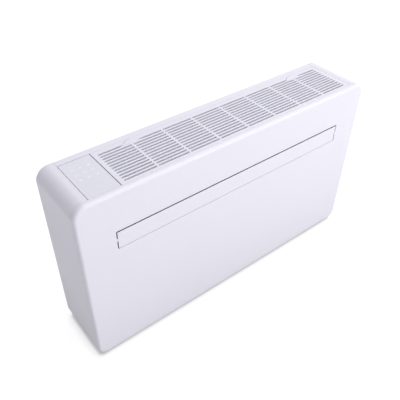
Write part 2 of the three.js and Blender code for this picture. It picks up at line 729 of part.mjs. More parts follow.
place('flap_motor', flapMotor(), GREY_PLASTIC);

// ---------------------------------------------------------------- outdoor chamber walls

const chamberFront = panFront + SHEET + SEAT_GAP;
const chamberTop = housingZ[0] - SEAT_GAP;
const chamberDeck = chamberTop - SHEET;
const bulkheadX = -300;
const standOn = panFloor + SEAT_GAP;

const wallZ = [standOn, chamberDeck - SEAT_GAP];

function chamberWall() {
  const sheet = block([-470, 470], [chamberFront, chamberFront + SHEET], wallZ);
  const stiffeners = [100, 250].map((z) =>
    block([-460, 460], [chamberFront + 1, chamberFront + 4], [z - 6, z + 6]));
  return join(sheet, ...stiffeners);
}

place('chamber_front', chamberWall(), GALVANISED);
const deck = block([-413, 505], [chamberFront, panRear], [chamberDeck, chamberTop]);
place('chamber_deck', deck, GALVANISED);

const dischargeLine = { y: 8, z: 312, radius: 4 };
const liquidLine = { y: -24, z: 322, radius: 3 };

function bulkhead() {
  const depth = [chamberFront + 5, panRear - SHEET - SEAT_GAP];
  const sheet = block([bulkheadX - SHEET, bulkheadX], depth, wallZ);
  const holes = [dischargeLine, liquidLine].map(({ y, z, radius }) =>
    rod(radius + 2, 'x', [bulkheadX - 5, bulkheadX + 5], 12).translate([0, y, z]));
  return cut(sheet, ...holes);
}

place('compressor_bulkhead', bulkhead(), GALVANISED);

// ---------------------------------------------------------------- duct collars and outdoor fan

// A ring that lines a port: flush with the back plate's outside, with a flange inside it.
function collar(depth, bore) {
  const flange = collarRadius + 9;
  const seat = backInside - SEAT_GAP;
  const profile = [
    [bore, BACK], [bore, BACK - depth], [bore + 2.5, BACK - depth],
    [collarRadius, seat - 2], [flange, seat - 2], [flange, seat],
    [collarRadius, seat], [collarRadius, BACK], [bore, BACK],
  ];
  return turned(profile, 'y', PORT_FACETS);
}

const [intakeX, exhaustX] = portXs;
place('intake_collar', collar(22, PORT_RADIUS).translate([intakeX, 0, PORT_HEIGHT]), GREY_PLASTIC);

const shroudDepth = 55;
const shroudFront = BACK - shroudDepth;
const shroudBore = 79;

function exhaustShroud() {
  const spiderDepth = [shroudFront, shroudFront + 4];
  const arms = [45, 135].map((angle) =>
    block([-shroudBore - 1, shroudBore + 1], spiderDepth, [-4, 4]).rotate([0, angle, 0]));
  const boss = rod(30, 'y', spiderDepth, 20);
  const bore = rod(6, 'y', [shroudFront - 5, shroudFront + 10], 16);
  return cut(join(collar(shroudDepth, shroudBore), ...arms, boss), bore)
    .translate([exhaustX, 0, PORT_HEIGHT]);
}

place('exhaust_shroud', exhaustShroud(), GREY_PLASTIC);

const fanDepth = [shroudFront + 14, shroudFront + 44];
const fanTip = 74;
const fanHub = 27;

// A twisted blade, lofted outwards from the hub through thin sections that lie flatter near the tip.
function fanBlade() {
  const stations = 3;
  const middle = (fanDepth[0] + fanDepth[1]) / 2;
  const rings = Array.from({ length: stations + 1 }, (_, station) => {
    const share = station / stations;
    const radius = fanHub - 2 + (fanTip - fanHub + 2) * share;
    const pitch = THREE.MathUtils.degToRad(52 - 24 * share);
    const chord = 15 + 9 * Math.sin(share * Math.PI * 0.6);
    const thickness = 1.5 - 0.5 * share;
    const corners = [[-chord, 0], [0, -thickness - 2], [chord, 0], [0, thickness - 2]];
    return corners.map(([along, off]) => {
      const sweep = along * Math.cos(pitch) - off * Math.sin(pitch) + 10 * share;
      const height = along * Math.sin(pitch) + off * Math.cos(pitch);
      const angle = sweep / radius;
      const depth = THREE.MathUtils.clamp(middle + height, fanDepth[0], fanDepth[1]);
      return new THREE.Vector3(radius * Math.sin(angle), depth, radius * Math.cos(angle));
    });
  });
  return loft(rings);
}

function outdoorFan() {
  const [front, rear] = fanDepth;
  const hubProfile = [[0, front], [fanHub, front], [fanHub, rear - 6], [fanHub - 6, rear], [0, rear]];
  const hub = turned(hubProfile, 'y', 16);
  const shaft = rod(4, 'y', [shroudFront + SEAT_GAP, fanDepth[0] + 1], 10);
  const blades = Array.from({ length: OUTDOOR_FAN_BLADES }, (_, index) =>
    fanBlade().rotate([0, (index * 360) / OUTDOOR_FAN_BLADES, 0]));
  return join(hub, shaft, ...blades).translate([exhaustX, 0, PORT_HEIGHT]);
}

place('outdoor_fan', outdoorFan(), DARK_PLASTIC);

const fanMotorRear = shroudFront - SEAT_GAP;
const fanMotorProfile = [
  [0, fanMotorRear - 48], [14, fanMotorRear - 48], [14, fanMotorRear - 43],
  [36, fanMotorRear - 40], [36, fanMotorRear - 6], [28, fanMotorRear], [0, fanMotorRear],
];
const fanMotor = turned(fanMotorProfile, 'y', 16).translate([exhaustX, 0, PORT_HEIGHT]);
place('outdoor_fan_motor', fanMotor, DARK_PLASTIC);

// ---------------------------------------------------------------- condenser

const condenser = {
  x: -20,
  thickness: 34,
  front: chamberFront + 8,
  rear: panRear - 6,
  bottom: 30,
  top: 330,
};

function condenserCoil() {
  const { x, thickness, front, rear, bottom, top } = condenser;
  const bends = [-48, -16, 16, 48].map((y) =>
    returnBend(8, 3.6).translate([(top - bottom) / 2 - 0.5, y, 0]));
  const pack = join(finPack(top - bottom, rear - front, thickness, 9), ...bends)
    .rotate([0, -90, 0])
    .translate([x, (front + rear) / 2, (bottom + top) / 2]);
  const legs = [front, rear - 12].map((y) =>
    block([x - thickness / 2, x + thickness / 2], [y, y + 12], [standOn, bottom + 1]));
  return join(pack, ...legs);
}

place('condenser', condenserCoil(), ALUMINIUM);

// ---------------------------------------------------------------- compressor and pipes

const grommetHeight = 12;
const footPlate = standOn + grommetHeight + SEAT_GAP;
const grommetReach = 62;
const grommetAngles = [90, 210, 330];
const grommetSpots = grommetAngles.map((degrees) => {
  const angle = THREE.MathUtils.degToRad(degrees);
  return [COMPRESSOR.x + grommetReach * Math.cos(angle), COMPRESSOR.y + grommetReach * Math.sin(angle)];
});

function compressor() {
  const { x, y, radius } = COMPRESSOR;
  const profile = [
    [0, 22], [34, 23], [50, 30], [radius, 42], [radius, 216], [50, 230], [34, 238],
    [8, 240], [8, 246], [0, 246],
  ];
  const shell = turned(profile, 'z', 16).translate([x, y, 0]);
  const lobes = grommetSpots.map(([lobeX, lobeY]) =>
    rod(14, 'z', [footPlate, footPlate + 4], 10).translate([lobeX, lobeY, 0]));
  const web = extrude(grommetSpots, 'z', [footPlate, footPlate + 4]);
  const pedestal = rod(32, 'z', [footPlate, 30], 12).translate([x, y, 0]);
  const terminals = block([x - 48, x - 16], [y - 14, y + 14], [222, 244]);
  return join(shell, web, ...lobes, pedestal, terminals);
}

place('compressor', compressor(), BLACK_PAINT);

const grommetProfile = [
  [0, standOn], [12, standOn], [12, standOn + 4], [9, standOn + 6],
  [12, standOn + 8], [12, standOn + grommetHeight], [0, standOn + grommetHeight],
];
grommetSpots.forEach(([x, y], index) => {
  const grommet = turned(grommetProfile, 'z', 8);
  place(`compressor_grommet_${index + 1}`, grommet.translate([x, y, 0]), RUBBER);
});

const accumulatorSpot = { x: -322, y: 36 };

function accumulator() {
  const { x, y } = accumulatorSpot;
  const profile = [[0, 62], [6, 62], [20, 70], [20, 190], [14, 200], [6, 206], [6, 212], [0, 212]];
  const can = turned(profile, 'z', 12).translate([x, y, 0]);
  const toShell = new THREE.Vector3(COMPRESSOR.x - x, COMPRESSOR.y - y, 0).normalize();
  const distance = Math.hypot(COMPRESSOR.x - x, COMPRESSOR.y - y) - COMPRESSOR.radius - 0.6;
  const top = new THREE.Vector3(x, y, 66);
  const corner = new THREE.Vector3(x, y, 46);
  const end = corner.clone().addScaledVector(toShell, distance);
  return join(can, tube([top, corner, end], 5, { bendRadius: 9 }));
}

place('accumulator', accumulator(), BLACK_PAINT);

const riserX = { suction: -428, liquid: -440 };
const point = (x, y, z) => new THREE.Vector3(x, y, z);
const coilFace = condenser.x - condenser.thickness / 2 - SEAT_GAP;
const plenumFace = plenumX[0] - SEAT_GAP;

const dischargePipe = tube([
  point(COMPRESSOR.x, COMPRESSOR.y, 246.3),
  point(COMPRESSOR.x, COMPRESSOR.y, dischargeLine.z),
  point(coilFace, dischargeLine.y, dischargeLine.z),
], dischargeLine.radius, { sides: 6 });
place('discharge_pipe', dischargePipe, COPPER);

const suctionPipe = tube([
  point(accumulatorSpot.x, accumulatorSpot.y, 212.3),
  point(accumulatorSpot.x, accumulatorSpot.y, 338),
  point(riserX.suction, accumulatorSpot.y, 338),
  point(riserX.suction, accumulatorSpot.y, 510),
  point(plenumFace, accumulatorSpot.y, 510),
], 5);
place('suction_pipe', suctionPipe, COPPER);

const liquidPipe = tube([
  point(coilFace, liquidLine.y, liquidLine.z),
  point(riserX.liquid, liquidLine.y, liquidLine.z),
  point(riserX.liquid, liquidLine.y, 500),
  point(plenumFace, liquidLine.y, 500),
], liquidLine.radius, { sides: 6 });
place('liquid_pipe', liquidPipe, COPPER);

// ---------------------------------------------------------------- electronics

const boxX = [330, 466];
const boxY = [-62, 66];
const boxZ = [standOn, 290];

function electronicsBox() {
  const outside = block(boxX, boxY, boxZ);
  const inside = block(
    [boxX[0] + 2, boxX[1] - 2], [boxY[0] - 1, boxY[1] - 2], [boxZ[0] + 30, boxZ[1] - 2]);
  return cut(outside, inside);
}

place('electronics_box', electronicsBox(), GALVANISED);
const lidY = [boxY[0] - SEAT_GAP - SHEET, boxY[0] - SEAT_GAP];
place('electronics_lid', block(boxX, lidY, [boxZ[0] + 20, boxZ[1]]), GALVANISED);

function mainBoard() {
  const y = boxY[1] - 2 - SEAT_GAP;
  const board = block([boxX[0] + 8, boxX[1] - 8], [y - 2, y], [boxZ[0] + 40, boxZ[1] - 10]);
  const capacitors = [80, 116].map((z) => rod(15, 'y', [y - 45, y - 1], 16).translate([360, 0, z]));
  const relay = block([410, 440], [y - 22, y - 1], [80, 120]);
  const choke = block([400, 445], [y - 36, y - 1], [200, 245]);
  return join(board, ...capacitors, relay, choke);
}

place('main_board', mainBoard(), BOARD_GREEN);

function heatSink() {
  const plate = block([boxX[0] - SEAT_GAP - 5, boxX[0] - SEAT_GAP], [-50, 54], [150, 260]);
  const fins = Array.from({ length: 9 }, (_, index) =>
    block([boxX[0] - 26, boxX[0] - 5], [-50 + index * 12.75, -48 + index * 12.75], [150, 260]));
  return join(plate, ...fins);
}

place('heat_sink', heatSink(), ALUMINIUM);

// ---------------------------------------------------------------- bracket, drain and power inlet

const bracketX = [-411, -376];
const portalDrawing = [
  [-76, housingZ[1] + SEAT_GAP], [-73, housingZ[1] + SEAT_GAP], [-73, trayZ[0] - 3 - SEAT_GAP],
  [70, trayZ[0] - 3 - SEAT_GAP], [70, housingZ[1] + SEAT_GAP], [73, housingZ[1] + SEAT_GAP],
  [73, trayZ[0] - SEAT_GAP], [-76, trayZ[0] - SEAT_GAP],
];
place('control_bracket', extrude(portalDrawing, 'x', bracketX), GALVANISED);

// A flanged sleeve that stands in a hole of the back plate and opens inwards.
function sleeve({ x, z, radius }, bore, depth) {
  const seat = backInside - SEAT_GAP;
  const profile = [
    [bore, BACK], [bore, BACK - depth], [radius - 2, BACK - depth], [radius - 2, seat - 3],
    [radius + 4, seat - 3], [radius + 4, seat], [radius, seat], [radius, BACK], [bore, BACK],
  ];
  return turned(profile, 'y', SLEEVE_FACETS).translate([x, 0, z]);
}

place('drain_outlet', sleeve(drainPoint, 5, 24), GREY_PLASTIC);
place('power_inlet', sleeve(inletPoint, 5, 16), DARK_PLASTIC);

export default cabinet;
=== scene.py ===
import math

import bmesh
import bpy
from mathutils import Matrix, Vector


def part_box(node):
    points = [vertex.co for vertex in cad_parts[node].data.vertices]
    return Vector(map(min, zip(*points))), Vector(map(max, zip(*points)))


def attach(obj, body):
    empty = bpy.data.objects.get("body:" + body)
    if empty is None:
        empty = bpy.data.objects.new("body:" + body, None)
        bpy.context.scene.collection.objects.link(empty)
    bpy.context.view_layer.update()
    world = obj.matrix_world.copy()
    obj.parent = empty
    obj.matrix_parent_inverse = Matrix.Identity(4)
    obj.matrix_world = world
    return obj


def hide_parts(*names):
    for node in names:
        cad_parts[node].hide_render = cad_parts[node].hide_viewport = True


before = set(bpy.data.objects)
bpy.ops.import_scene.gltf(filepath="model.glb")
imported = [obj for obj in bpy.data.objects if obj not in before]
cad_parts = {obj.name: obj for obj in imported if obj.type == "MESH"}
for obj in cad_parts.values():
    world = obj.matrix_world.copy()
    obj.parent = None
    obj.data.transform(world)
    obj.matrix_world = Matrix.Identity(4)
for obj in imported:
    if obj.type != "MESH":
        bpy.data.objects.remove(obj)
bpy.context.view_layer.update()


# ---------------------------------------------------------------- base pan and feet
# The cabinet stands on a folded tray of galvanised sheet steel, spot welded and stiffened by its
# rim. Four rubber pads keep it off the floor, and the casing ends a plinth's height above them.

MM = 0.001  # a millimetre in Blender's metres
NEAR = 1e-6  # places less far apart than this count as one


def box_into(bm, low, high):
    """Adds a box between two corners and returns its vertices."""
    low, high = Vector(low), Vector(high)
    made = bmesh.ops.create_cube(bm, size=1.0)["verts"]
    bmesh.ops.scale(bm, vec=high - low, verts=made)
    bmesh.ops.translate(bm, vec=(low + high) / 2, verts=made)
    return made


def edges_of(verts, test):
    """The edges between these vertices whose two ends pass a test."""
    inside = set(verts)
    found = {e for v in verts for e in v.link_edges if e.other_vert(v) in inside}
    return [e for e in found if test(e.verts[0].co, e.verts[1].co)]


def runs_along(axis):
    """A test for edges that run along one axis."""
    others = [i for i in range(3) if i != axis]
    return lambda a, b: all(abs(a[i] - b[i]) < NEAR for i in others)


def round_edges(bm, edges, radius, steps):
    bmesh.ops.bevel(
        bm, geom=edges, offset=radius, offset_type="OFFSET", segments=steps, profile=0.5,
        affect="EDGES", material=-1, clamp_overlap=False,
    )


def corner_normals(bm, angle):
    """Shading normals that follow the largest faces, so that flats beside a round stay flat."""
    bm.faces.index_update()
    weighed = [f.normal * f.calc_area() for f in bm.faces]
    least = math.cos(angle)
    normals = []
    for face in bm.faces:
        for corner in face.loops:
            near = [f for f in corner.vert.link_faces if f.normal.dot(face.normal) > least]
            normals.append(sum((weighed[f.index] for f in near), Vector()).normalized())
    return normals


def add_object(name, data):
    made = bpy.data.objects.new(name, data)
    bpy.context.collection.objects.link(made)
    return made


def piece_from(bm, name, material, body, replaced=(), angle=35):
    """Turns a bmesh into a smooth-shaded object that rides on a body of the frame."""
    bmesh.ops.recalc_face_normals(bm, faces=bm.faces)
    normals = corner_normals(bm, math.radians(angle))
    mesh = bpy.data.meshes.new(name)
    bm.to_mesh(mesh)
    bm.free()
    mesh.materials.append(material)
    mesh.polygons.foreach_set("use_smooth", [True] * len(mesh.polygons))
    mesh.normals_split_custom_set(normals)
    piece = add_object(name, mesh)
    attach(piece, body)
    if replaced:
        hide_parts(*replaced)
    return piece


def effect_group(name, inputs):
    """A new shader group, and the sockets of its named inputs."""
    group = bpy.data.node_groups.new(name, "ShaderNodeTree")
    for label, value in inputs.items():
        kind = "NodeSocketFloat" if isinstance(value, float) else "NodeSocketColor"
        socket = group.interface.new_socket(name=label, in_out="INPUT", socket_type=kind)
        socket.default_value = value
    return group, group.nodes.new("NodeGroupInput").outputs


def give(group, **results):
    """Links a shader group's results, a colour, a roughness and a height, to its outputs."""
    for label in results:
        kind = "NodeSocketColor" if label == "Color" else "NodeSocketFloat"
        group.interface.new_socket(name=label, in_out="OUTPUT", socket_type=kind)
    sink = group.nodes.new("NodeGroupOutput")
    for label, socket in results.items():
        group.links.new(socket, sink.inputs[label])
    return group


def feed(tree, node, inputs):
    """Sets a node's inputs, by name or number, to values or to the sockets that give them."""
    for label, value in inputs.items():
        if isinstance(value, bpy.types.NodeSocket):
            tree.links.new(value, node.inputs[label])
        else:
            node.inputs[label].default_value = value


def new_node(tree, kind, inputs=None, **settings):
    node = tree.nodes.new(f"ShaderNode{kind}")
    for label, value in settings.items():
        setattr(node, label, value)
    feed(tree, node, inputs or {})
    return node


def maths(tree, operation, *values):
    """The result of a Math node on numbers or on the sockets that give them."""
    return new_node(tree, "Math", dict(enumerate(values)), operation=operation).outputs[0]


def texture(tree, kind, scale, **inputs):
    """A procedural texture on the piece's own Object coordinates."""
    place = new_node(tree, "TexCoord").outputs["Object"]
    return new_node(tree, kind, {"Vector": place, "Scale": scale, **inputs})


def scaled_color(tree, color, factor):
    return new_node(tree, "VectorMath", {0: color, "Scale": factor}, operation="SCALE").outputs[0]


def moulded_grain_group():
    """The skin of a moulding: a faint mottle, an uneven gloss and the fine grain of the tool."""
    given = {"Color": (0.8, 0.8, 0.8, 1), "Mottle": 0.02, "Roughness": 0.4, "Grain": 900.0}
    group, source = effect_group("moulded_grain", given)
    broad = texture(group, "TexNoise", 7.0, Detail=4.0)
    fine = texture(group, "TexNoise", source["Grain"], Detail=2.0)
    centred = maths(group, "SUBTRACT", broad.outputs["Fac"], 0.5)
    swing = maths(group, "MULTIPLY_ADD", centred, source["Mottle"], 1.0)
    gloss = maths(group, "MULTIPLY_ADD", centred, 0.12, source["Roughness"])
    color = scaled_color(group, source["Color"], swing)
    return give(group, Color=color, Roughness=gloss, Height=fine.outputs["Fac"])


def surface(name, group, values, bump=0.1, relief=0.2 * MM, **shader_values):
    """A Principled material whose colour, roughness and bump come from one shader group."""
    material = bpy.data.materials.new(name)
    material.use_nodes = True
    tree = material.node_tree
    effect = new_node(tree, "Group", values, node_tree=group).outputs
    bumps = new_node(
        tree, "Bump", {"Strength": bump, "Distance": relief, "Height": effect["Height"]})
    given = {label.replace("_", " "): value for label, value in shader_values.items()}
    feed(tree, tree.nodes["Principled BSDF"], {
        "Base Color": effect["Color"], "Roughness": effect["Roughness"],
        "Normal": bumps.outputs["Normal"], **given})
    return material


def paint_nodes(material, *names):
    """Gives CAD nodes that are shown as they are their finish."""
    for name in names:
        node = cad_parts[name]
        node.data.materials.clear()
        node.data.materials.append(material)


def galvanised_group():
    """Hot-dip zinc: crystal spangles that differ a little in tone and gloss."""
    given = {"Color": (0.5, 0.5, 0.52, 1), "Spangle": 90.0}
    group, source = effect_group("galvanised", given)
    crystals = texture(group, "TexVoronoi", source["Spangle"])
    split = new_node(group, "SeparateColor", {0: crystals.outputs["Color"]}).outputs
    tone = maths(group, "MULTIPLY_ADD", split[0], 0.16, 0.92)
    gloss = maths(group, "MULTIPLY_ADD", split[1], 0.16, 0.36)
    color = scaled_color(group, source["Color"], tone)
    return give(group, Color=color, Roughness=gloss, Height=crystals.outputs["Distance"])


MOULDED_GRAIN = moulded_grain_group()
GALVANISED = surface(
    "galvanised_sheet", galvanised_group(), {"Color": (0.56, 0.57, 0.59, 1), "Spangle": 110.0},
    Metallic=0.7, bump=0.05,
)


def moulded(name, color, mottle, roughness, grain=900.0, **finish):
    """A material of one colour with the moulded grain: plastic, rubber, paint or bare metal."""
    values = {"Color": (*color, 1), "Mottle": mottle, "Roughness": roughness, "Grain": grain}
    return surface(name, MOULDED_GRAIN, values, **finish)


RUBBER = moulded("rubber", (0.022, 0.022, 0.024), mottle=0.3, roughness=0.75, bump=0.3)
paint_nodes(GALVANISED, "base_pan")

FOOT_ROUND = 0.6 * MM
HALF_ROUND = 0.999  # of half a pad's width, so that its two rounds all but meet
for corner in ("front_left", "front_right", "rear_left", "rear_right"):
    low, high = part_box(f"foot_{corner}")
    bm = bmesh.new()
    pad = box_into(bm, low, high)
    round_edges(bm, edges_of(pad, runs_along(2)), (high.y - low.y) / 2 * HALF_ROUND, 12)
    rim = edges_of(bm.verts, lambda a, b: abs(a.z - b.z) < NEAR and a.z < low.z + NEAR)
    round_edges(bm, rim, FOOT_ROUND, 2)
    piece_from(bm, f"foot_pad_{corner}", RUBBER, "cabinet", [f"foot_{corner}"])


# ---------------------------------------------------------------- compressor and its pipes
# A welded steel pot in black paint stands on three rubber grommets beside its accumulator.
# Bent copper pipes, brazed at both ends, carry the gas to the outdoor coil and the indoor coil.

BLACK_PAINT = moulded("black_paint", (0.016, 0.016, 0.018), mottle=0.2, roughness=0.34,
                      grain=260.0, bump=0.15)
COPPER = moulded("bare_copper", (0.72, 0.35, 0.2), mottle=0.55, roughness=0.3,
                 grain=420.0, Metallic=1.0, bump=0.05)
paint_nodes(BLACK_PAINT, "compressor", "accumulator")
paint_nodes(RUBBER, *(f"compressor_grommet_{number}" for number in (1, 2, 3)))
paint_nodes(COPPER, "discharge_pipe", "suction_pipe", "liquid_pipe")


# ---------------------------------------------------------------- outdoor coil
# Rows of thin pressed aluminium fins on copper hairpin tubes, held between two end plates. The
# coil stands upright across the outdoor chamber, so that the fan draws air through it.

COIL_FIN = 0.35 * MM
COIL_PITCH = 2.6 * MM
COIL_TUBE = 4 * MM
COIL_BEND = 9 * MM
TUBE_SIDES = 12
COIL_OVERHANG = COIL_BEND + COIL_TUBE
JOIN = 1 * MM  # how far the parts of one piece reach into each other


def rolled_fin_group():
    """Rolled aluminium foil: fine lines along the roll and a slight change of gloss."""
    group, source = effect_group("rolled_fin", {"Color": (0.8, 0.8, 0.82, 1), "Lines": 600.0})
    lines = texture(group, "TexWave", source["Lines"], Distortion=1.5, Detail=2.0)
    foil = lines.outputs["Fac"]
    tone = maths(group, "MULTIPLY_ADD", foil, 0.12, 0.9)
    gloss = maths(group, "MULTIPLY_ADD", foil, 0.1, 0.32)
    color = scaled_color(group, source["Color"], tone)
    return give(group, Color=color, Roughness=gloss, Height=foil)


ALUMINIUM = surface(
    "fin_aluminium", rolled_fin_group(), {"Color": (0.76, 0.77, 0.79, 1), "Lines": 500.0},
    Metallic=0.9, bump=0.05,
)


def rod_into(bm, radius, start, end, steps=24):
    """Adds a closed round bar between two points and returns its vertices."""
    start, end = Vector(start), Vector(end)
    along = end - start
    turn = along.to_track_quat("Z", "Y").to_matrix().to_4x4()
    made = bmesh.ops.create_cone(
        bm, cap_ends=True, cap_tris=False, segments=steps, radius1=radius, radius2=radius,
        depth=along.length, matrix=Matrix.Translation((start + end) / 2) @ turn,
    )
    return made["verts"]


def fin_coil(bm, length, width, thickness, rows):
    """A coil along X about the origin: fins, straight tubes and their return bends."""
    count = int(length / COIL_PITCH)
    for index in range(count):
        x = (index + 0.5 - count / 2) * COIL_PITCH
        left, right = x - COIL_FIN / 2, x + COIL_FIN / 2
        box_into(bm, (left, -width / 2, -thickness / 2), (right, width / 2, thickness / 2))
    across_x = Matrix.Rotation(math.pi / 2, 4, "Y")
    for row in rows:
        for side in (-1, 1):
            y = row + side * COIL_BEND
            rod_into(bm, COIL_TUBE, (-length / 2, y, 0), (length / 2, y, 0), TUBE_SIDES)
        start = Matrix.Translation((length / 2, row - COIL_BEND, 0)) @ across_x
        ring = bmesh.ops.create_circle(
            bm, cap_ends=True, segments=TUBE_SIDES, radius=COIL_TUBE, matrix=start)["verts"]
        cap = ring[0].link_faces[0]
        bmesh.ops.spin(
            bm, geom=list(ring) + list(cap.edges) + [cap], cent=(length / 2, row, 0),
            axis=(0, 0, 1), angle=math.pi, steps=10,
        )


CONDENSER_ROWS = [y * MM for y in (-48, -16, 16, 48)]
COIL_BOTTOM = 33 * MM
COIL_LEG = 12 * MM
low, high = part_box("condenser")
coil_height = high.z - COIL_OVERHANG - COIL_BOTTOM
bm = bmesh.new()
fin_coil(bm, coil_height, high.y - low.y, high.x - low.x, CONDENSER_ROWS)
upright = Matrix.Rotation(-math.pi / 2, 4, "Y")
middle = Vector(((low.x + high.x) / 2, (low.y + high.y) / 2, COIL_BOTTOM + coil_height / 2))
bmesh.ops.transform(bm, matrix=Matrix.Translation(middle) @ upright, verts=bm.verts)
for leg in (low.y, high.y - COIL_LEG):
    box_into(bm, (low.x, leg, low.z), (high.x, leg + COIL_LEG, COIL_BOTTOM + JOIN))
piece_from(bm, "outdoor_coil", ALUMINIUM, "cabinet", ["condenser"])


# ---------------------------------------------------------------- chamber walls and electronics box
# Folded galvanised sheets part the outdoor chamber from the room side. The electronics stand in
# a sheet steel box at the right end, with an extruded heat sink on the fan's side of it.

DARK_PLASTIC = moulded("dark_plastic", (0.028, 0.029, 0.033), mottle=0.12, roughness=0.5)


def two_tone(tree, factor, first, second):
    """A colour that goes from one to another as a mask goes from nought to one."""
    blend = new_node(tree, "Mix", {"Factor": factor}, data_type="RGBA")
    colors = [socket for socket in blend.inputs if socket.type == "RGBA"]
    tree.links.new(first, colors[0])
    tree.links.new(second, colors[1])
    return next(socket for socket in blend.outputs if socket.type == "RGBA")


def circuit_board_group():
    """Green solder mask with a grid of tinned pads."""
    given = {"Mask": (0.02, 0.13, 0.055, 1), "Tin": (0.6, 0.6, 0.58, 1), "Pads": 260.0}
    group, source = effect_group("circuit_board", given)
    cells = texture(group, "TexVoronoi", source["Pads"], Randomness=0.15)
    pads = maths(group, "LESS_THAN", cells.outputs["Distance"], 0.22)
    color = two_tone(group, pads, source["Mask"], source["Tin"])
    rough = maths(group, "MULTIPLY_ADD", pads, -0.15, 0.45)
    return give(group, Color=color, Roughness=rough, Height=pads)


BOARD = surface("circuit_board", circuit_board_group(), {"Pads": 240.0}, bump=0.2)
paint_nodes(GALVANISED, "chamber_front", "chamber_deck", "compressor_bulkhead", "electronics_box",
            "electronics_lid", "control_bracket")
paint_nodes(BOARD, "main_board", "control_board")
paint_nodes(ALUMINIUM, "heat_sink")
paint_nodes(DARK_PLASTIC, "blower_motor", "outdoor_fan_motor", "control_tray")


# ---------------------------------------------------------------- back plate
# One galvanised sheet closes the back. It has the two holes for the ducts through the wall, slots
# for the hooks it hangs on, pressed beads that stiffen it, and screws sunk in pressed dimples.
# Like the casing, it ends a plinth's height above the foot of the base pan.

PORT_HEIGHT = 203 * MM
PORT_HOLE = 84.3 * MM
SHEET = 1.2 * MM
TOP_RADIUS = 40 * MM
BOTTOM_RADIUS = 28 * MM
PLINTH = 15 * MM
WALL = 3 * MM
SEAT_GAP = 0.3 * MM
HOOK_XS = [x * MM for x in (-380, -130, 130, 380)]
HOOK_HEIGHT = 526 * MM
HOOK_HALF = (20 * MM, 3 * MM)
HOOK_CORNER = 1.5 * MM
BEADS = (  # the two ends and the height of each, in millimetres
    (-330, 330, 425), (-330, 330, 455), (-460, -300, 330), (300, 460, 330),
    (-50, 50, 330), (-460, -300, 120), (300, 400, 150), (-40, 40, 75))
BEAD_WIDTH = 9 * MM
BEAD_DEPTH = 1.1 * MM
BEAD_SLOPE = 1.8 * MM
BEAD_END = 0.98  # of half the width: the ends are all but round
END_SCREWS = [(x, z) for x in (-495, 495) for z in (60, 180, 300, 420, 525)]
MIDDLE_SCREWS = [(x, z) for x in (-250, 0, 250) for z in (36, 545)]
SCREW_RADIUS = 4 * MM
DIMPLE_RADIUS = 6.5 * MM
DIMPLE_SLOPE = 1.5 * MM
PORT_RINGS = ("intake_collar", "exhaust_shroud")
GREY_PLASTIC = moulded("grey_plastic", (0.32, 0.33, 0.36), mottle=0.05, roughness=0.52)
SLEEVES = (("drain_outlet", 9 * MM, GREY_PLASTIC, "grey_plastic"),
           ("power_inlet", 11 * MM, DARK_PLASTIC, "dark_plastic"))
ON_BACK = Matrix.Rotation(math.pi / 2, 4, "X")
ARC_MIDDLE = 0.3  # a quarter round's middle lies this far in from both its sides, in radii

low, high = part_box("back_plate")
back = high.y
rail_low, rail_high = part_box("top_rear_rail")
port_xs = [sum(corner.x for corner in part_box(name)) / 2 for name in PORT_RINGS]


def rounded_loop(bm, low, high, corner, steps, turn, lower_corner=None):
    """An edge loop round a rectangle with round corners, drawn flat and then placed."""
    flat = ((low[0], low[1]), (high[0], low[1]), (high[0], high[1]), (low[0], high[1]))
    verts = [bm.verts.new((x, y, 0)) for x, y in flat]
    face = bm.faces.new(verts)
    for pair, radius in ((verts[:2], lower_corner or corner), (verts[2:], corner)):
        made = bmesh.ops.bevel(
            bm, geom=pair, offset=radius, offset_type="OFFSET", segments=steps, profile=0.5,
            affect="VERTICES", material=-1, clamp_overlap=False,
        )
    face = made["verts"][0].link_faces[0]
    verts, edges = list(face.verts), list(face.edges)
    bmesh.ops.delete(bm, geom=[face], context="FACES_ONLY")
    bmesh.ops.transform(bm, matrix=turn, verts=verts)
    return edges


def centred_loop(bm, half, corner, steps, turn):
    return rounded_loop(bm, (-half[0], -half[1]), half, corner, steps, turn)


def round_loop(bm, radius, place, steps):
    made = bmesh.ops.create_circle(bm, cap_ends=False, segments=steps, radius=radius, matrix=place)
    return list({e for v in made["verts"] for e in v.link_edges})


def bridge(bm, *loops):
    """Walls between each edge loop and the next."""
    for first, second in zip(loops, loops[1:]):
        bmesh.ops.bridge_loops(bm, edges=list(first) + list(second))


def on_back(x, z, depth=0.0):
    return Matrix.Translation((x, back - depth, z)) @ ON_BACK


def pressed(bm, rim, floor):
    """A recess pressed into the sheet, from its rim down to its floor."""
    bridge(bm, rim, floor)
    bmesh.ops.contextual_create(bm, geom=floor)


def fill_flat(bm, edges):
    """Covers a flat outline, apart from the loops inside it."""
    bmesh.ops.triangle_fill(bm, edges=edges, use_beauty=True, use_dissolve=False)


def thicken(bm, depth):
    bmesh.ops.solidify(bm, geom=bm.faces[:], thickness=depth)


def rim_levels(radius, depth):
    """Each ring's distance from the wall and its depth, round a rounded rim and down the wall."""
    middle = radius * ARC_MIDDLE
    return [(radius, 0), (middle, middle), (0, radius), (0, depth)]


bm = bmesh.new()
for x in port_xs:
    round_loop(bm, PORT_HOLE, on_back(x, PORT_HEIGHT), 64)
for sleeve, radius, *_ in SLEEVES:
    middle = sum(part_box(sleeve), Vector()) / 2
    round_loop(bm, radius + SEAT_GAP, on_back(middle.x, middle.z), 32)
for x in HOOK_XS:
    centred_loop(bm, HOOK_HALF, HOOK_CORNER, 3, on_back(x, HOOK_HEIGHT))

for x0, x1, z in BEADS:
    rings = []
    for slope, depth in ((0, 0), (BEAD_SLOPE, BEAD_DEPTH)):
        long, tall = (x1 - x0) / 2 * MM - slope, BEAD_WIDTH / 2 - slope
        place = on_back((x0 + x1) / 2 * MM, z * MM, depth)
        rings.append(centred_loop(bm, (long, tall), tall * BEAD_END, 5, place))
    pressed(bm, *rings)

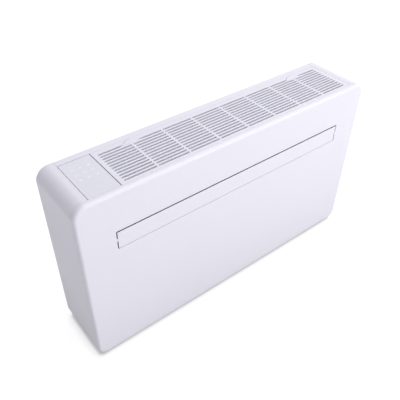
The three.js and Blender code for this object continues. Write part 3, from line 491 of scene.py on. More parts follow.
screw_spots = [(x * MM, z * MM) for x, z in END_SCREWS + MIDDLE_SCREWS]
for x, z in screw_spots:
    pressed(bm, *(round_loop(bm, DIMPLE_RADIUS - slope, on_back(x, z, depth), 24)
                  for slope, depth in ((0, 0), (DIMPLE_SLOPE, BEAD_DEPTH))))

inset = WALL + SEAT_GAP
outline = rounded_loop(
    bm, (low.x, low.z + PLINTH), (high.x, high.z), TOP_RADIUS - inset, 16, on_back(0, 0),
    BOTTOM_RADIUS - inset)
top_edge = max(outline, key=lambda e: e.calc_length() + 2 * e.verts[0].co.z)
lip = rail_low.z - SEAT_GAP
lip_half = rail_high.x + SEAT_GAP
cuts = bmesh.ops.subdivide_edges(bm, edges=[top_edge], cuts=4)["geom_inner"]
cuts = sorted((v for v in cuts if isinstance(v, bmesh.types.BMVert)), key=lambda v: v.co.x)
step_corners = ((-lip_half, high.z), (-lip_half, lip), (lip_half, lip), (lip_half, high.z))
for vert, (x, z) in zip(cuts, step_corners):
    vert.co = (x, back, z)
rims = [e for e in bm.edges if len(e.link_faces) < 2]
fill_flat(bm, rims)
bmesh.ops.recalc_face_normals(bm, faces=bm.faces)
if max(bm.faces, key=lambda f: f.calc_area()).normal.y < 0:
    bmesh.ops.reverse_faces(bm, faces=bm.faces[:])
thicken(bm, SHEET)
piece_from(bm, "rear_sheet", GALVANISED, "cabinet", ["back_plate"], angle=28)

SCREW_STEEL = moulded("screw_steel", (0.5, 0.5, 0.5), mottle=0.2, roughness=0.3,
                      grain=500.0, Metallic=1.0)
SCREW_ROUND = 0.5 * MM
SLOT_HALF = (2.4 * MM, 0.45 * MM)
SLOT_DEPTH = 0.7 * MM
SLOT_END = 0.2 * MM
bm = bmesh.new()
for x, z in screw_spots:
    head = [round_loop(bm, SCREW_RADIUS - inset, on_back(x, z, depth), 24)
            for inset, depth in rim_levels(SCREW_ROUND, BEAD_DEPTH)]
    bridge(bm, *head)
    slot = [centred_loop(bm, SLOT_HALF, SLOT_END, 2, on_back(x, z, depth))
            for depth in (0, SLOT_DEPTH)]
    pressed(bm, *slot)
    fill_flat(bm, head[0] + slot[0])
    bmesh.ops.contextual_create(bm, geom=head[-1])
piece_from(bm, "rear_screws", SCREW_STEEL, "cabinet")


# ---------------------------------------------------------------- duct collars and outdoor fan
# Moulded rings line both ports. The outlet's ring carries a four-armed spider with the fan
# motor's boss, and a seven-bladed axial fan turns just inside it.


def ring_into(bm, profile, centre, steps=72):
    """Spins a closed profile of radius against Y round the axis through a centre."""
    verts = [bm.verts.new((centre[0] + radius, y, centre[1])) for radius, y in profile]
    edges = [bm.edges.new((a, b)) for a, b in zip(verts, verts[1:] + verts[:1])]
    bmesh.ops.spin(
        bm, geom=verts + edges, cent=(centre[0], 0, centre[1]), axis=(0, 1, 0),
        angle=2 * math.pi, steps=steps, use_merge=True,
    )


COLLAR = 84 * MM
COLLAR_FLANGE = 93 * MM
COLLAR_SEAT = back - 2.3 * MM
COLLAR_WALL = 2.5 * MM
FLANGE = 2 * MM
LEAD_IN = 0.8 * MM
INTAKE_BORE, INTAKE_DEPTH = 81 * MM, 22 * MM


def collar_profile(bore, depth):
    flange_front = COLLAR_SEAT - FLANGE
    return [
        (bore, back - LEAD_IN), (bore, back - depth), (bore + COLLAR_WALL, back - depth),
        (COLLAR, flange_front), (COLLAR_FLANGE, flange_front), (COLLAR_FLANGE, COLLAR_SEAT),
        (COLLAR, COLLAR_SEAT), (COLLAR, back), (bore + LEAD_IN, back),
    ]


bm = bmesh.new()
ring_into(bm, collar_profile(INTAKE_BORE, INTAKE_DEPTH), (port_xs[0], PORT_HEIGHT))
piece_from(bm, "intake_ring", GREY_PLASTIC, "cabinet", ["intake_collar"])

SHROUD_BORE, SHROUD_DEPTH = 79 * MM, 55 * MM
SPIDER = 4 * MM
ARM_START, ARM_END, ARM_HALF = 14 * MM, 80 * MM, 4 * MM
ARM_ROUND = 0.8 * MM
ARM_RUN = 20 * MM  # only an arm's long edges are longer than this
BOSS_BORE, BOSS = 6 * MM, 30 * MM
fan_x = port_xs[1]
fan_axis = (fan_x, PORT_HEIGHT)
shroud_front = back - SHROUD_DEPTH
spider_rear = shroud_front + SPIDER
bm = bmesh.new()
arm_edges = []
for quarter in range(4):
    arm = box_into(bm, (ARM_START, shroud_front, -ARM_HALF), (ARM_END, spider_rear, ARM_HALF))
    turn = Matrix.Rotation(math.pi / 4 + quarter * math.pi / 2, 4, "Y")
    bmesh.ops.transform(bm, matrix=Matrix.Translation((fan_x, 0, PORT_HEIGHT)) @ turn, verts=arm)
    arm_edges += edges_of(arm, lambda a, b: (a - b).length > ARM_RUN)
round_edges(bm, arm_edges, ARM_ROUND, 2)
boss = [(BOSS_BORE, shroud_front), (BOSS, shroud_front), (BOSS, spider_rear),
        (BOSS_BORE, spider_rear)]
ring_into(bm, boss, fan_axis, 40)
ring_into(bm, collar_profile(SHROUD_BORE, SHROUD_DEPTH), fan_axis)
piece_from(bm, "outlet_shroud", GREY_PLASTIC, "cabinet", ["exhaust_shroud"])

FAN_BLADES = 7
FAN_HUB = 27 * MM
FAN_TIP = 74 * MM
FAN_ROOT = FAN_HUB - 2 * MM
FAN_BLADE = 1.2 * MM
PITCH_AT_HUB, TWIST = 52, 24  # degrees
CHORD, CHORD_SWELL = 15, 9  # millimetres either side of the blade's middle
SWELL = 0.6  # of a half wave from root to tip
CAMBER = 2.5 * MM
SWEEP = 10 * MM
FAN_SETBACK, FAN_MARGIN = 14 * MM, 1 * MM
fan_low, fan_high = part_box("outdoor_fan")
fan_front, fan_rear = shroud_front + FAN_SETBACK, fan_high.y
fan_middle = (fan_front + fan_rear) / 2
fan_room = (fan_rear - fan_front) / 2 - FAN_MARGIN
bm = bmesh.new()
blade = bmesh.ops.create_grid(bm, x_segments=10, y_segments=8, size=1.0)["verts"]
for vert in blade:
    outward = (vert.co.y + 1) / 2
    radius = FAN_ROOT + (FAN_TIP - FAN_ROOT) * outward
    pitch = math.radians(PITCH_AT_HUB - TWIST * outward)
    chord = (CHORD + CHORD_SWELL * math.sin(outward * math.pi * SWELL)) * MM * vert.co.x
    camber = CAMBER * (1 - vert.co.x ** 2)
    sweep = chord * math.cos(pitch) + camber * math.sin(pitch) + SWEEP * outward
    depth = chord * math.sin(pitch) - camber * math.cos(pitch)
    depth = max(min(depth, fan_room), -fan_room)
    angle = sweep / radius
    vert.co = (radius * math.sin(angle), fan_middle + depth, radius * math.cos(angle))
thicken(bm, FAN_BLADE)
bmesh.ops.recalc_face_normals(bm, faces=bm.faces)


def repeat_round(bm, count, axis):
    """Copies everything in a bmesh round an axis through the origin."""
    whole = bm.verts[:] + bm.edges[:] + bm.faces[:]
    bmesh.ops.spin(
        bm, geom=whole, cent=(0, 0, 0), axis=axis, angle=2 * math.pi * (count - 1) / count,
        steps=count - 1, use_duplicate=True,
    )


HUB_BORE, HUB_EDGE = 4.2 * MM, 1 * MM
HUB_NOSE = (  # radius, and depth below the rear end, round the domed nose to its bore
    (FAN_HUB, 8 * MM), (FAN_HUB - 2.5 * MM, 3 * MM), (FAN_HUB - 8 * MM, 0.6 * MM),
    (10 * MM, 0.2 * MM), (8 * MM, 3 * MM), (HUB_BORE, 3 * MM))
SHAFT, SHAFT_SHORT = 4 * MM, 2 * MM
repeat_round(bm, FAN_BLADES, (0, 1, 0))
bmesh.ops.translate(bm, vec=(fan_x, 0, PORT_HEIGHT), verts=bm.verts)
hub = [(HUB_BORE, fan_front), (FAN_HUB - HUB_EDGE, fan_front), (FAN_HUB, fan_front + HUB_EDGE)]
hub += [(radius, fan_rear - depth) for radius, depth in HUB_NOSE]
ring_into(bm, hub, fan_axis, 56)
shaft_rear = fan_rear - SHAFT_SHORT
rod_into(bm, SHAFT, (fan_x, fan_low.y, PORT_HEIGHT), (fan_x, shaft_rear, PORT_HEIGHT))
piece_from(bm, "outdoor_fan_wheel", DARK_PLASTIC, "outdoor_fan", ["outdoor_fan"])

SLEEVE_BORE = 5 * MM
SLEEVE_TAPER = 2 * MM
SLEEVE_FLANGE, SLEEVE_RIM = 4 * MM, 3 * MM
SLEEVE_LEAD_IN = 1 * MM
for name, outer, finish, slot in SLEEVES:
    low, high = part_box(name)
    spot = ((low.x + high.x) / 2, (low.z + high.z) / 2)
    nose, flange = outer - SLEEVE_TAPER, outer + SLEEVE_FLANGE
    flange_front = COLLAR_SEAT - SLEEVE_RIM
    profile = [
        (SLEEVE_BORE, back - SLEEVE_LEAD_IN), (SLEEVE_BORE, low.y), (nose, low.y),
        (nose, flange_front), (flange, flange_front), (flange, COLLAR_SEAT),
        (outer, COLLAR_SEAT), (outer, back), (SLEEVE_BORE + SLEEVE_LEAD_IN, back),
    ]
    bm = bmesh.new()
    ring_into(bm, profile, spot, 36)
    piece_from(bm, f"{name}_sleeve", finish, "cabinet", [name])


# ---------------------------------------------------------------- indoor coil and its air box
# The grey air box under the filter holds the tilted indoor coil. A foam trough along its front
# gathers the water that runs off the fins.


def bead_foam_group():
    """Moulded bead foam: fused beads with fine dark joints between them."""
    group, source = effect_group("bead_foam", {"Color": (0.8, 0.8, 0.78, 1), "Beads": 300.0})
    beads = texture(group, "TexVoronoi", source["Beads"]).outputs["Distance"]
    joint = maths(group, "MULTIPLY_ADD", beads, -0.14, 1.03)
    rough = maths(group, "MULTIPLY_ADD", beads, 0.1, 0.78)
    color = scaled_color(group, source["Color"], joint)
    height = maths(group, "SUBTRACT", 1.0, beads)
    return give(group, Color=color, Roughness=rough, Height=height)


FOAM = surface(
    "bead_foam", bead_foam_group(), {"Color": (0.72, 0.72, 0.71, 1), "Beads": 320.0},
    bump=0.25, relief=0.4 * MM,
)
paint_nodes(FOAM, "drip_tray", "blower_housing")
paint_nodes(GREY_PLASTIC, "intake_plenum", "flap_motor")

COIL_LEFT, COIL_RIGHT = -350 * MM, 436 * MM
COIL_WIDTH, COIL_THICKNESS = 134 * MM, 34 * MM
COIL_Y, COIL_Z = -2 * MM, 531 * MM
COIL_TILT = math.radians(14)
INDOOR_ROWS = [y * MM for y in (-42, -14, 14, 42)]
END_PLATE = 1.5 * MM
END_PLATE_RISE = 34 * MM
low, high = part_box("evaporator")
bm = bmesh.new()
fin_coil(bm, COIL_RIGHT - COIL_LEFT, COIL_WIDTH, COIL_THICKNESS, INDOOR_ROWS)
middle = Vector(((COIL_LEFT + COIL_RIGHT) / 2, COIL_Y, COIL_Z))
tilt = Matrix.Rotation(COIL_TILT, 4, "X")
bmesh.ops.transform(bm, matrix=Matrix.Translation(middle) @ tilt, verts=bm.verts)
for x in (COIL_LEFT, COIL_RIGHT - END_PLATE):
    box_into(bm, (x, low.y, low.z), (x + END_PLATE, high.y, middle.z + END_PLATE_RISE))
piece_from(bm, "indoor_coil", ALUMINIUM, "cabinet", ["evaporator"])


# ---------------------------------------------------------------- cross-flow blower
# A long drum of thin forward-curved blades between round discs, moulded in sections and welded.
# Its left end runs in a rubber bearing and the motor's shaft drives the right end.

ROTOR_RADIUS = 44 * MM
ROTOR_HALF = 402 * MM
ROTOR_BLADES = 36
ROTOR_DISCS = 9
ROTOR_SHAFT = 5 * MM
DISC = 2.4 * MM
DISC_ROUND = 0.4 * MM
DRUM_BLADE = 0.9 * MM
BLADE_ROOT = ROTOR_RADIUS - 12 * MM
BLADE_CENTRE = (0, 9.85 * MM, BLADE_ROOT + 1.8 * MM)
BLADE_ARC = math.radians(-78)
low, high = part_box("blower_rotor")
bm = bmesh.new()
root = [bm.verts.new((x, 0, BLADE_ROOT)) for x in (-ROTOR_HALF + JOIN, ROTOR_HALF - JOIN)]
edge = bm.edges.new(root)
bmesh.ops.spin(
    bm, geom=root + [edge], cent=BLADE_CENTRE, axis=(1, 0, 0), angle=BLADE_ARC, steps=6)
thicken(bm, DRUM_BLADE)
bmesh.ops.recalc_face_normals(bm, faces=bm.faces)
repeat_round(bm, ROTOR_BLADES, (1, 0, 0))
reach = max(math.hypot(v.co.y, v.co.z) for v in bm.verts)
snug = (ROTOR_RADIUS - DISC_ROUND) / reach
bmesh.ops.scale(bm, vec=(1, snug, snug), verts=bm.verts)
for index in range(ROTOR_DISCS):
    x = -ROTOR_HALF + index * (2 * ROTOR_HALF - DISC) / (ROTOR_DISCS - 1)
    disc = rod_into(bm, ROTOR_RADIUS, (x, 0, 0), (x + DISC, 0, 0), 64)
    round_edges(bm, edges_of(disc, lambda a, b: abs(a.x - b.x) < NEAR), DISC_ROUND, 2)
rod_into(bm, ROTOR_SHAFT, (low.x, 0, 0), (-ROTOR_HALF + JOIN, 0, 0))
rod_into(bm, ROTOR_SHAFT, (ROTOR_HALF - JOIN, 0, 0), (high.x, 0, 0))
bmesh.ops.translate(bm, vec=(0, (low.y + high.y) / 2, (low.z + high.z) / 2), verts=bm.verts)
piece_from(bm, "cross_flow_drum", GREY_PLASTIC, "blower", ["blower_rotor"])
paint_nodes(RUBBER, "blower_bearing")


# ---------------------------------------------------------------- side panels
# Each end of the casing is one white moulding. It runs down the end, wraps over the wide top
# corner as far as the top plate, and turns a little way under the bottom corner. Like the front,
# it ends a plinth's height above the foot of the base pan.

UNDER_WRAP = 35 * MM
PANEL_ROUND = 0.45 * MM
CLOSE = 1e-5  # a face's middle within this of a plane lies on it
STRAIGHT = 0.999  # a normal with a larger share than this along an axis looks along it
SHARP = 1.2  # radians
WHITE = moulded("white_moulding", (0.80, 0.805, 0.87), mottle=0.015, roughness=0.42,
                grain=1400.0, bump=0.04, relief=0.1 * MM)


def round_cabinet_corners(bm, verts, x_side, low, high):
    """Rounds the upper and lower corner of one end, as seen from the front."""

    def at_end(a, b, z):
        return runs_along(1)(a, b) and abs(a.x - x_side) < NEAR and abs(a.z - z) < NEAR

    upper = edges_of(verts, lambda a, b: at_end(a, b, high))
    lower = edges_of(verts, lambda a, b: at_end(a, b, low))
    round_edges(bm, upper, TOP_RADIUS, 24)
    round_edges(bm, lower, BOTTOM_RADIUS, 12)


def faces_where(bm, test):
    """The faces whose middle and normal pass a test."""
    return [f for f in bm.faces if test(f.calc_center_median(), f.normal)]


def drop_faces(bm, test):
    bmesh.ops.delete(bm, geom=faces_where(bm, test), context="FACES")


def cut_across(bm, faces, x, direction):
    """Cuts some of the faces where an upright plane crosses the cabinet."""
    bmesh.ops.bisect_plane(
        bm, geom=bm.verts[:] + bm.edges[:] + faces, plane_co=(x, 0, 0),
        plane_no=(direction, 0, 0), dist=NEAR)


def sharp_edges(bm):
    """Edges where two faces meet at a sharp angle."""
    return [e for e in bm.edges if e.is_manifold and e.calc_face_angle() > SHARP]


for side, sign in (("left", -1), ("right", 1)):
    low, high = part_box(f"side_panel_{side}")
    low = low + Vector((0, 0, PLINTH))
    outer, inner = (low.x, high.x) if sign < 0 else (high.x, low.x)
    bm = bmesh.new()
    shell = box_into(bm, low, high)
    round_cabinet_corners(bm, shell, outer, low.z, high.z)
    drop_faces(bm, lambda c, n: abs(n.y) > STRAIGHT or abs(c.x - inner) < CLOSE)
    under = faces_where(bm, lambda c, n: n.z < -STRAIGHT)
    under_end = outer - sign * UNDER_WRAP
    cut_across(bm, under, under_end, sign)
    drop_faces(bm, lambda c, n: n.z < -STRAIGHT and sign * (c.x - under_end) < 0)
    thicken(bm, WALL)
    round_edges(bm, sharp_edges(bm), PANEL_ROUND, 2)
    piece_from(bm, f"side_shell_{side}", WHITE, "cabinet", [f"side_panel_{side}"])


# ---------------------------------------------------------------- top rear rail
# A white angle along the wall side of the top. Its lip turns down over the back plate, and a
# short leg stands behind the grille's rear edge.

RAIL_LEG = 8 * MM
RAIL_WALL = 2.4 * MM
RAIL_BEND = 2.5 * MM
RAIL_ROUND = 0.3 * MM
low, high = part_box("top_rear_rail")
bm = bmesh.new()
box_into(bm, low, high)
drop_faces(bm, lambda c, n: n.z < -STRAIGHT or abs(n.x) > STRAIGHT)
leg = [v for v in bm.verts if v.co.y < low.y + NEAR and v.co.z < low.z + NEAR]
bmesh.ops.translate(bm, vec=(0, 0, high.z - RAIL_LEG - low.z), verts=leg)
behind = [v for v in bm.verts if v.co.y > high.y - NEAR]
round_edges(bm, edges_of(behind, lambda a, b: min(a.z, b.z) > high.z - NEAR), RAIL_BEND, 6)
thicken(bm, RAIL_WALL)
round_edges(bm, sharp_edges(bm), RAIL_ROUND, 2)
piece_from(bm, "rear_rail", WHITE, "cabinet", ["top_rear_rail"])


# ---------------------------------------------------------------- front panel
# The front is one deep white moulding with a soft edge all round. The flap's window has return
# walls behind it, and its edges are barely broken, as they come out of the mould.

FRONT_EDGE = 9 * MM
WINDOW_HALF = 411.8 * MM
WINDOW_CORNER = 2.6 * MM
WINDOW_ROUND = 0.5 * MM
WINDOW_RETURN = 0.2 * MM  # how far short of the panel's rear its walls end
GAP_BELOW, GAP_ABOVE = 1.2 * MM, 4.0 * MM
flap_low, flap_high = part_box("outlet_flap")
window_low = flap_low.z - GAP_BELOW
window_high = flap_high.z + GAP_ABOVE

low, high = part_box("front_panel")
low = low + Vector((0, 0, PLINTH))
bm = bmesh.new()
box_into(bm, low, high)
for x_side in (low.x, high.x):
    round_cabinet_corners(bm, bm.verts[:], x_side, low.z, high.z)
front_rim = edges_of(bm.verts[:], lambda a, b: max(a.y, b.y) < low.y + NEAR)
round_edges(bm, front_rim, FRONT_EDGE, 9)
drop_faces(bm, lambda c, n: abs(n.y) > STRAIGHT and not low.y + CLOSE < c.y < high.y - CLOSE)

window_rear = high.y - WINDOW_RETURN
tunnel = box_into(
    bm, (-WINDOW_HALF, low.y, window_low), (WINDOW_HALF, window_rear, window_high))
round_edges(bm, edges_of(tunnel, runs_along(1)), WINDOW_CORNER, 5)
drop_faces(bm, lambda c, n: abs(n.y) > STRAIGHT)
face_rims = [e for e in bm.edges if e.is_boundary and all(v.co.y < low.y + NEAR for v in e.verts)]
fill_flat(bm, face_rims)
bmesh.ops.recalc_face_normals(bm, faces=bm.faces)
if min(bm.faces, key=lambda f: f.calc_center_median().y).normal.y > 0:
    bmesh.ops.reverse_faces(bm, faces=bm.faces[:])
thicken(bm, WALL)
round_edges(bm, sharp_edges(bm), WINDOW_ROUND, 2)
piece_from(bm, "front_shell", WHITE, "cabinet", ["front_panel"])


# ---------------------------------------------------------------- outlet flap
# A long white leaf with thin edges and a crowned back. It turns on a stub at each end, half way
# up, with a round hub that keeps it centred in its window.

FLAP_HALF = 409 * MM
FLAP_EDGE = 0.5 * MM
FLAP_LIP = 0.9 * MM
FLAP_CROWN = 6.3 * MM
CROWN_FADE = 14 * MM
HUB_RADIUS = 8.2 * MM
HUB_REACH = 2.3 * MM
AXIS_Y = -91.5 * MM
KNUCKLE = 14 * MM
KNUCKLE_RADIUS = 4.6 * MM
STUB_RADIUS = 2.5 * MM
axis_z = (flap_low.z + flap_high.z) / 2
half_height = (flap_high.z - flap_low.z) / 2
bm = bmesh.new()
leaf_rear = flap_low.y + FLAP_LIP
leaf = box_into(bm, (-FLAP_HALF, flap_low.y, flap_low.z), (FLAP_HALF, leaf_rear, flap_high.z))
bmesh.ops.subdivide_edges(bm, edges=edges_of(leaf, runs_along(2)), cuts=11, use_grid_fill=True)
for side in (-1, 1):
    cut_across(bm, bm.faces[:], side * (FLAP_HALF - CROWN_FADE), side)
for vert in bm.verts:
    if vert.co.y > leaf_rear - NEAR:
        fullness = min((FLAP_HALF - abs(vert.co.x)) / CROWN_FADE, 1.0)
        vert.co.y += FLAP_CROWN * fullness * (1 - ((vert.co.z - axis_z) / half_height) ** 2)
rims = [e for e in sharp_edges(bm) if all(v.co.y < flap_low.y + NEAR for v in e.verts)]
round_edges(bm, rims, FLAP_EDGE, 4)
for side in (-1, 1):
    tip = side * FLAP_HALF
    knuckle = tip - side * KNUCKLE
    for radius, start, end, steps in (
            (KNUCKLE_RADIUS, knuckle, tip, 24), (STUB_RADIUS, knuckle, side * flap_high.x, 24),
            (HUB_RADIUS, tip, tip + side * HUB_REACH, 32)):
        rod_into(bm, radius, (start, AXIS_Y, axis_z), (end, AXIS_Y, axis_z), steps)
piece_from(bm, "outlet_leaf", WHITE, "flap", ["outlet_flap"])


# ---------------------------------------------------------------- touch panel
# A flat pale grey panel in the left end of the top, painted on its underside, with thin edges.
# Its touch marks are small and plain, printed a little lighter than the panel.

PANEL_DROP = 0.12 * MM
PANEL_REACH = 0.9 * MM
PANEL_SHORT = 0.35 * MM
PANEL_CORNER = 2 * MM
PANEL_EDGE = 0.35 * MM
MARK_HEIGHT, MARK_DEPTH = 0.06 * MM, 0.054 * MM
TOUCH_PANEL = moulded(
    "touch_panel_grey", (0.76, 0.775, 0.845), mottle=0.01, roughness=0.28, grain=1600.0,
    bump=0.02, relief=0.05 * MM, Coat_Weight=0.35, Coat_Roughness=0.12)
MARKS = moulded("touch_marks_white", (0.93, 0.935, 0.97), mottle=0.01, roughness=0.35, bump=0.02)
low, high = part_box("touch_panel")
bm = bmesh.new()
panel = box_into(bm, low, (high.x + PANEL_REACH, high.y - PANEL_SHORT, high.z - PANEL_DROP))
round_edges(bm, edges_of(panel, runs_along(2)), PANEL_CORNER, 5)
round_edges(bm, sharp_edges(bm), PANEL_EDGE, 3)
piece_from(bm, "touch_plate", TOUCH_PANEL, "cabinet", ["touch_panel"])

mark_top = high.z - PANEL_DROP + MARK_HEIGHT


def ring_mark(bm, x, y, outer, inner=0.0):
    """A printed ring, or a dot where it has no inside."""
    place = Matrix.Translation((x, y, mark_top))
    rim = round_loop(bm, outer, place, 28)
    if inner:
        bridge(bm, rim, round_loop(bm, inner, place, 28))
    else:
        bmesh.ops.contextual_create(bm, geom=rim)


def bar_mark(bm, x, y, length, width, turn=0.0):
    made = bmesh.ops.create_grid(bm, x_segments=1, y_segments=1, size=0.5)["verts"]
    bmesh.ops.scale(bm, vec=(length, width, 1), verts=made)
    place = Matrix.Translation((x, y, mark_top)) @ Matrix.Rotation(turn, 4, "Z")
    bmesh.ops.transform(bm, matrix=place, verts=made)


def face_along(faces, direction):
    """Turns the faces of a flat sheet so that they all look in one direction."""
    for face in faces:
        face.normal_update()
        if face.normal.dot(direction) < 0:
            face.normal_flip()


bm = bmesh.new()
columns = [x * MM for x in (-441, -418.5, -396)]
rows = [y * MM for y in (38, 15, -8)]
LAMP_ROW, LAMP = 54 * MM, 1.5 * MM
RING_OUTER, RING_INNER, DOT = 4.2 * MM, 3.1 * MM, 2.2 * MM
STROKE, BAR_LENGTH, BAR_STEP = 0.9 * MM, 4.2 * MM, 1.3 * MM
THIN = STROKE * 0.7
for x in columns:
    ring_mark(bm, x, LAMP_ROW, LAMP)
    for y in rows:
        ring_mark(bm, x, y, RING_OUTER, RING_INNER)
ring_mark(bm, columns[0], rows[2], DOT)
ring_mark(bm, columns[2], rows[0], DOT)
for turn in (0, math.pi / 2):
    bar_mark(bm, columns[1], rows[0], BAR_LENGTH, STROKE, turn)
    bar_mark(bm, columns[0], rows[1], BAR_LENGTH, STROKE, turn + math.pi / 4)
bar_mark(bm, columns[1], rows[1], BAR_LENGTH, STROKE)
bar_mark(bm, columns[2], rows[1], STROKE, BAR_LENGTH)
for third in (-1, 0, 1):
    bar_mark(bm, columns[1], rows[2] + third * BAR_STEP, BAR_LENGTH, THIN)
    bar_mark(bm, columns[2] + third * BAR_STEP, rows[2], THIN, BAR_LENGTH)
face_along(bm.faces, Vector((0, 0, 1)))
thicken(bm, MARK_DEPTH)
piece_from(bm, "touch_marks", MARKS, "cabinet")


# ---------------------------------------------------------------- intake grille
# The top plate is a white moulding with twelve rows of slots in eight sections. Its rear row
# opens into two low bell-shaped notches, which leave room for the filter's pull tabs.

SLOT_ROWS = 12
SLOT_SECTIONS = 8
SLOT_PITCH = Vector((101.2, 11.66)) * MM
SLOT_SIZE = Vector((96.6, 6.6)) * MM
SLOT_CORNER = 2.6 * MM
SLOT_DRAFT = 0.3
FIELD_CENTRE = 43 * MM
REAR_ROW = 57.9 * MM
SLAT_DEPTH = 8 * MM
SLOT_ROUND = 0.7 * MM
PLATE_ROUND = 0.5 * MM
TAB_SECTIONS = (0, SLOT_SECTIONS - 2)
TAB_FRONT = REAR_ROW - SLOT_SIZE.y / 2
NOTCH_HALF = 41 * MM
NOTCH_PEAK = 72.5 * MM
NOTCH_CUTS = 71
PLATE_CORNER = 1 * MM

low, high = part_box("intake_grille")
top = high.z


def section_x(section):
    return FIELD_CENTRE + (section - (SLOT_SECTIONS - 1) / 2) * SLOT_PITCH.x


def bell(along, half, base, peak):
    """How far back a tab's outline reaches at a distance from its middle."""
    share = min(abs(along) / half, 1.0)
    return base + (peak - base) * 0.5 * (1 + math.cos(math.pi * share))


tab_xs = [section_x(section) + SLOT_PITCH.x / 2 for section in TAB_SECTIONS]


def slot_loop(bm, x0, x1, y, grow, drop, tab_x):
    """One slot's outline at a depth. Beside a tab its rear edge swells into the notch."""
    half = SLOT_SIZE.y / 2 + grow
    place = Matrix.Translation((0, y, top - drop))
    reach = grow - drop * SLOT_DRAFT
    edges = rounded_loop(bm, (x0 - reach, -half), (x1 + reach, half), SLOT_CORNER + grow, 4, place)
    if tab_x is None:
        return edges
    rear_y = y + half
    rear = [e for e in edges if all(v.co.y > rear_y - NEAR for v in e.verts)]
    fresh = bmesh.ops.subdivide_edges(bm, edges=rear, cuts=NOTCH_CUTS)["geom_inner"]
    for vert in (v for v in fresh if isinstance(v, bmesh.types.BMVert)):
        crown = bell(vert.co.x - tab_x, NOTCH_HALF + grow, TAB_FRONT, NOTCH_PEAK) + grow
        vert.co.y = max(rear_y, crown)
        edges += [e for e in vert.link_edges if e not in edges]
    return edges


bm = bmesh.new()
for row in range(SLOT_ROWS):
    section = 0
    while section < SLOT_SECTIONS:
        beside_tab = row == 0 and section in TAB_SECTIONS
        last = section + 1 if beside_tab else section
        span = (section_x(section) - SLOT_SIZE.x / 2, section_x(last) + SLOT_SIZE.x / 2)
        tab_x = tab_xs[TAB_SECTIONS.index(section)] if beside_tab else None
        y = REAR_ROW - row * SLOT_PITCH.y
        levels = rim_levels(SLOT_ROUND, SLAT_DEPTH)
        loops = [slot_loop(bm, *span, y, grow, drop, tab_x) for grow, drop in levels]
        bridge(bm, *loops)
        section = last + 1

skirt = high.z - low.z
for levels in (rim_levels(PLATE_ROUND, skirt), [(WALL, skirt), (WALL, SLAT_DEPTH)]):
    bridge(bm, *[
        rounded_loop(
            bm, (low.x + inset, low.y + inset), (high.x - inset, high.y - inset), PLATE_CORNER, 3,
            Matrix.Translation((0, 0, top - drop)))
        for inset, drop in levels])
open_edges = [e for e in bm.edges if e.is_boundary]
for height in (top, top - SLAT_DEPTH, low.z):
    rims = [e for e in open_edges if all(abs(v.co.z - height) < NEAR for v in e.verts)]
    fill_flat(bm, rims)
piece_from(bm, "top_grille", WHITE, "filter_cassette", ["intake_grille"], angle=30)


# ---------------------------------------------------------------- filter frame and net
# Under the grille clips a ladder-shaped moulded frame with a woven net across its windows. Two
# bell-shaped tabs rise from its rear edge through the grille, to lift the whole cassette out.

FRAME_BORDER = 6 * MM
FRAME_BAR = 4 * MM
BAR_PLACE = 6.1 * MM
FRAME_REAR = 24 * MM
REAR_WINDOW = 12 * MM
WINDOW_BEND = 2 * MM
TAB_FOOT = 16 * MM
TAB_HALF = 38.5 * MM
TAB_PEAK = 71.9 * MM
TAB_SHIFT = 0.9 * MM
TAB_END = 1.5 * MM
TAB_LEAST = 1.2 * MM
TAB_GAP = 0.5 * MM
TAB_SEAT = 0.5 * MM
TAB_ROUND = 0.6 * MM
low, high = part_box("filter_frame")
frame_top = top - SLAT_DEPTH - SEAT_GAP
bay_pitch = (high.x - low.x - 2 * FRAME_BORDER + FRAME_BAR) / SLOT_SECTIONS
bank_ends = [low.y + FRAME_BORDER - FRAME_BAR, (low.y + high.y - FRAME_REAR) / 2 + BAR_PLACE]
bank_ends += [high.y - FRAME_REAR, high.y - FRAME_REAR + FRAME_BAR + REAR_WINDOW]
bm = bmesh.new()
on_frame = Matrix.Translation((0, 0, frame_top))
rounded_loop(bm, (low.x, low.y), (high.x, high.y), WINDOW_BEND, 3, on_frame)
for bay in range(SLOT_SECTIONS):
    x0 = low.x + FRAME_BORDER + bay * bay_pitch
    x1 = x0 + bay_pitch - FRAME_BAR
    for bank, (front, rear) in enumerate(zip(bank_ends, bank_ends[1:])):
        if bank == 2 and bay in TAB_SECTIONS:
            x1 = tab_xs[TAB_SECTIONS.index(bay)] - TAB_FOOT
        if bank == 2 and bay - 1 in TAB_SECTIONS:
            x0 = tab_xs[TAB_SECTIONS.index(bay - 1)] + TAB_FOOT
        rounded_loop(bm, (x0, front + FRAME_BAR), (x1, rear), WINDOW_BEND, 3, on_frame)
fill_flat(bm, bm.edges[:])
face_along(bm.faces, Vector((0, 0, 1)))
thicken(bm, frame_top - low.z)

for tab_x in tab_xs:
    tab = bmesh.ops.create_grid(bm, x_segments=28, y_segments=1, size=1.0)["verts"]
    front = TAB_FRONT + TAB_GAP
    for vert in tab:
        along = vert.co.x * (TAB_HALF - TAB_END)
        rear = max(bell(along, TAB_HALF, front, TAB_PEAK), front + TAB_LEAST)
        vert.co = (tab_x + TAB_SHIFT + along, rear if vert.co.y > 0 else front, top)
    plate = list({f for v in tab for f in v.link_faces})
    face_along(plate, Vector((0, 0, 1)))
    bmesh.ops.solidify(bm, geom=plate, thickness=top - frame_top + TAB_SEAT)
    rims = [e for e in sharp_edges(bm) if all(v.co.z > top - NEAR for v in e.verts)]
    rims = [e for e in rims if abs(e.verts[0].co.x - tab_x) < 2 * TAB_HALF]
    round_edges(bm, rims, TAB_ROUND, 3)
piece_from(
    bm, "filter_carrier", WHITE, "filter_cassette", ["filter_frame"], angle=30)


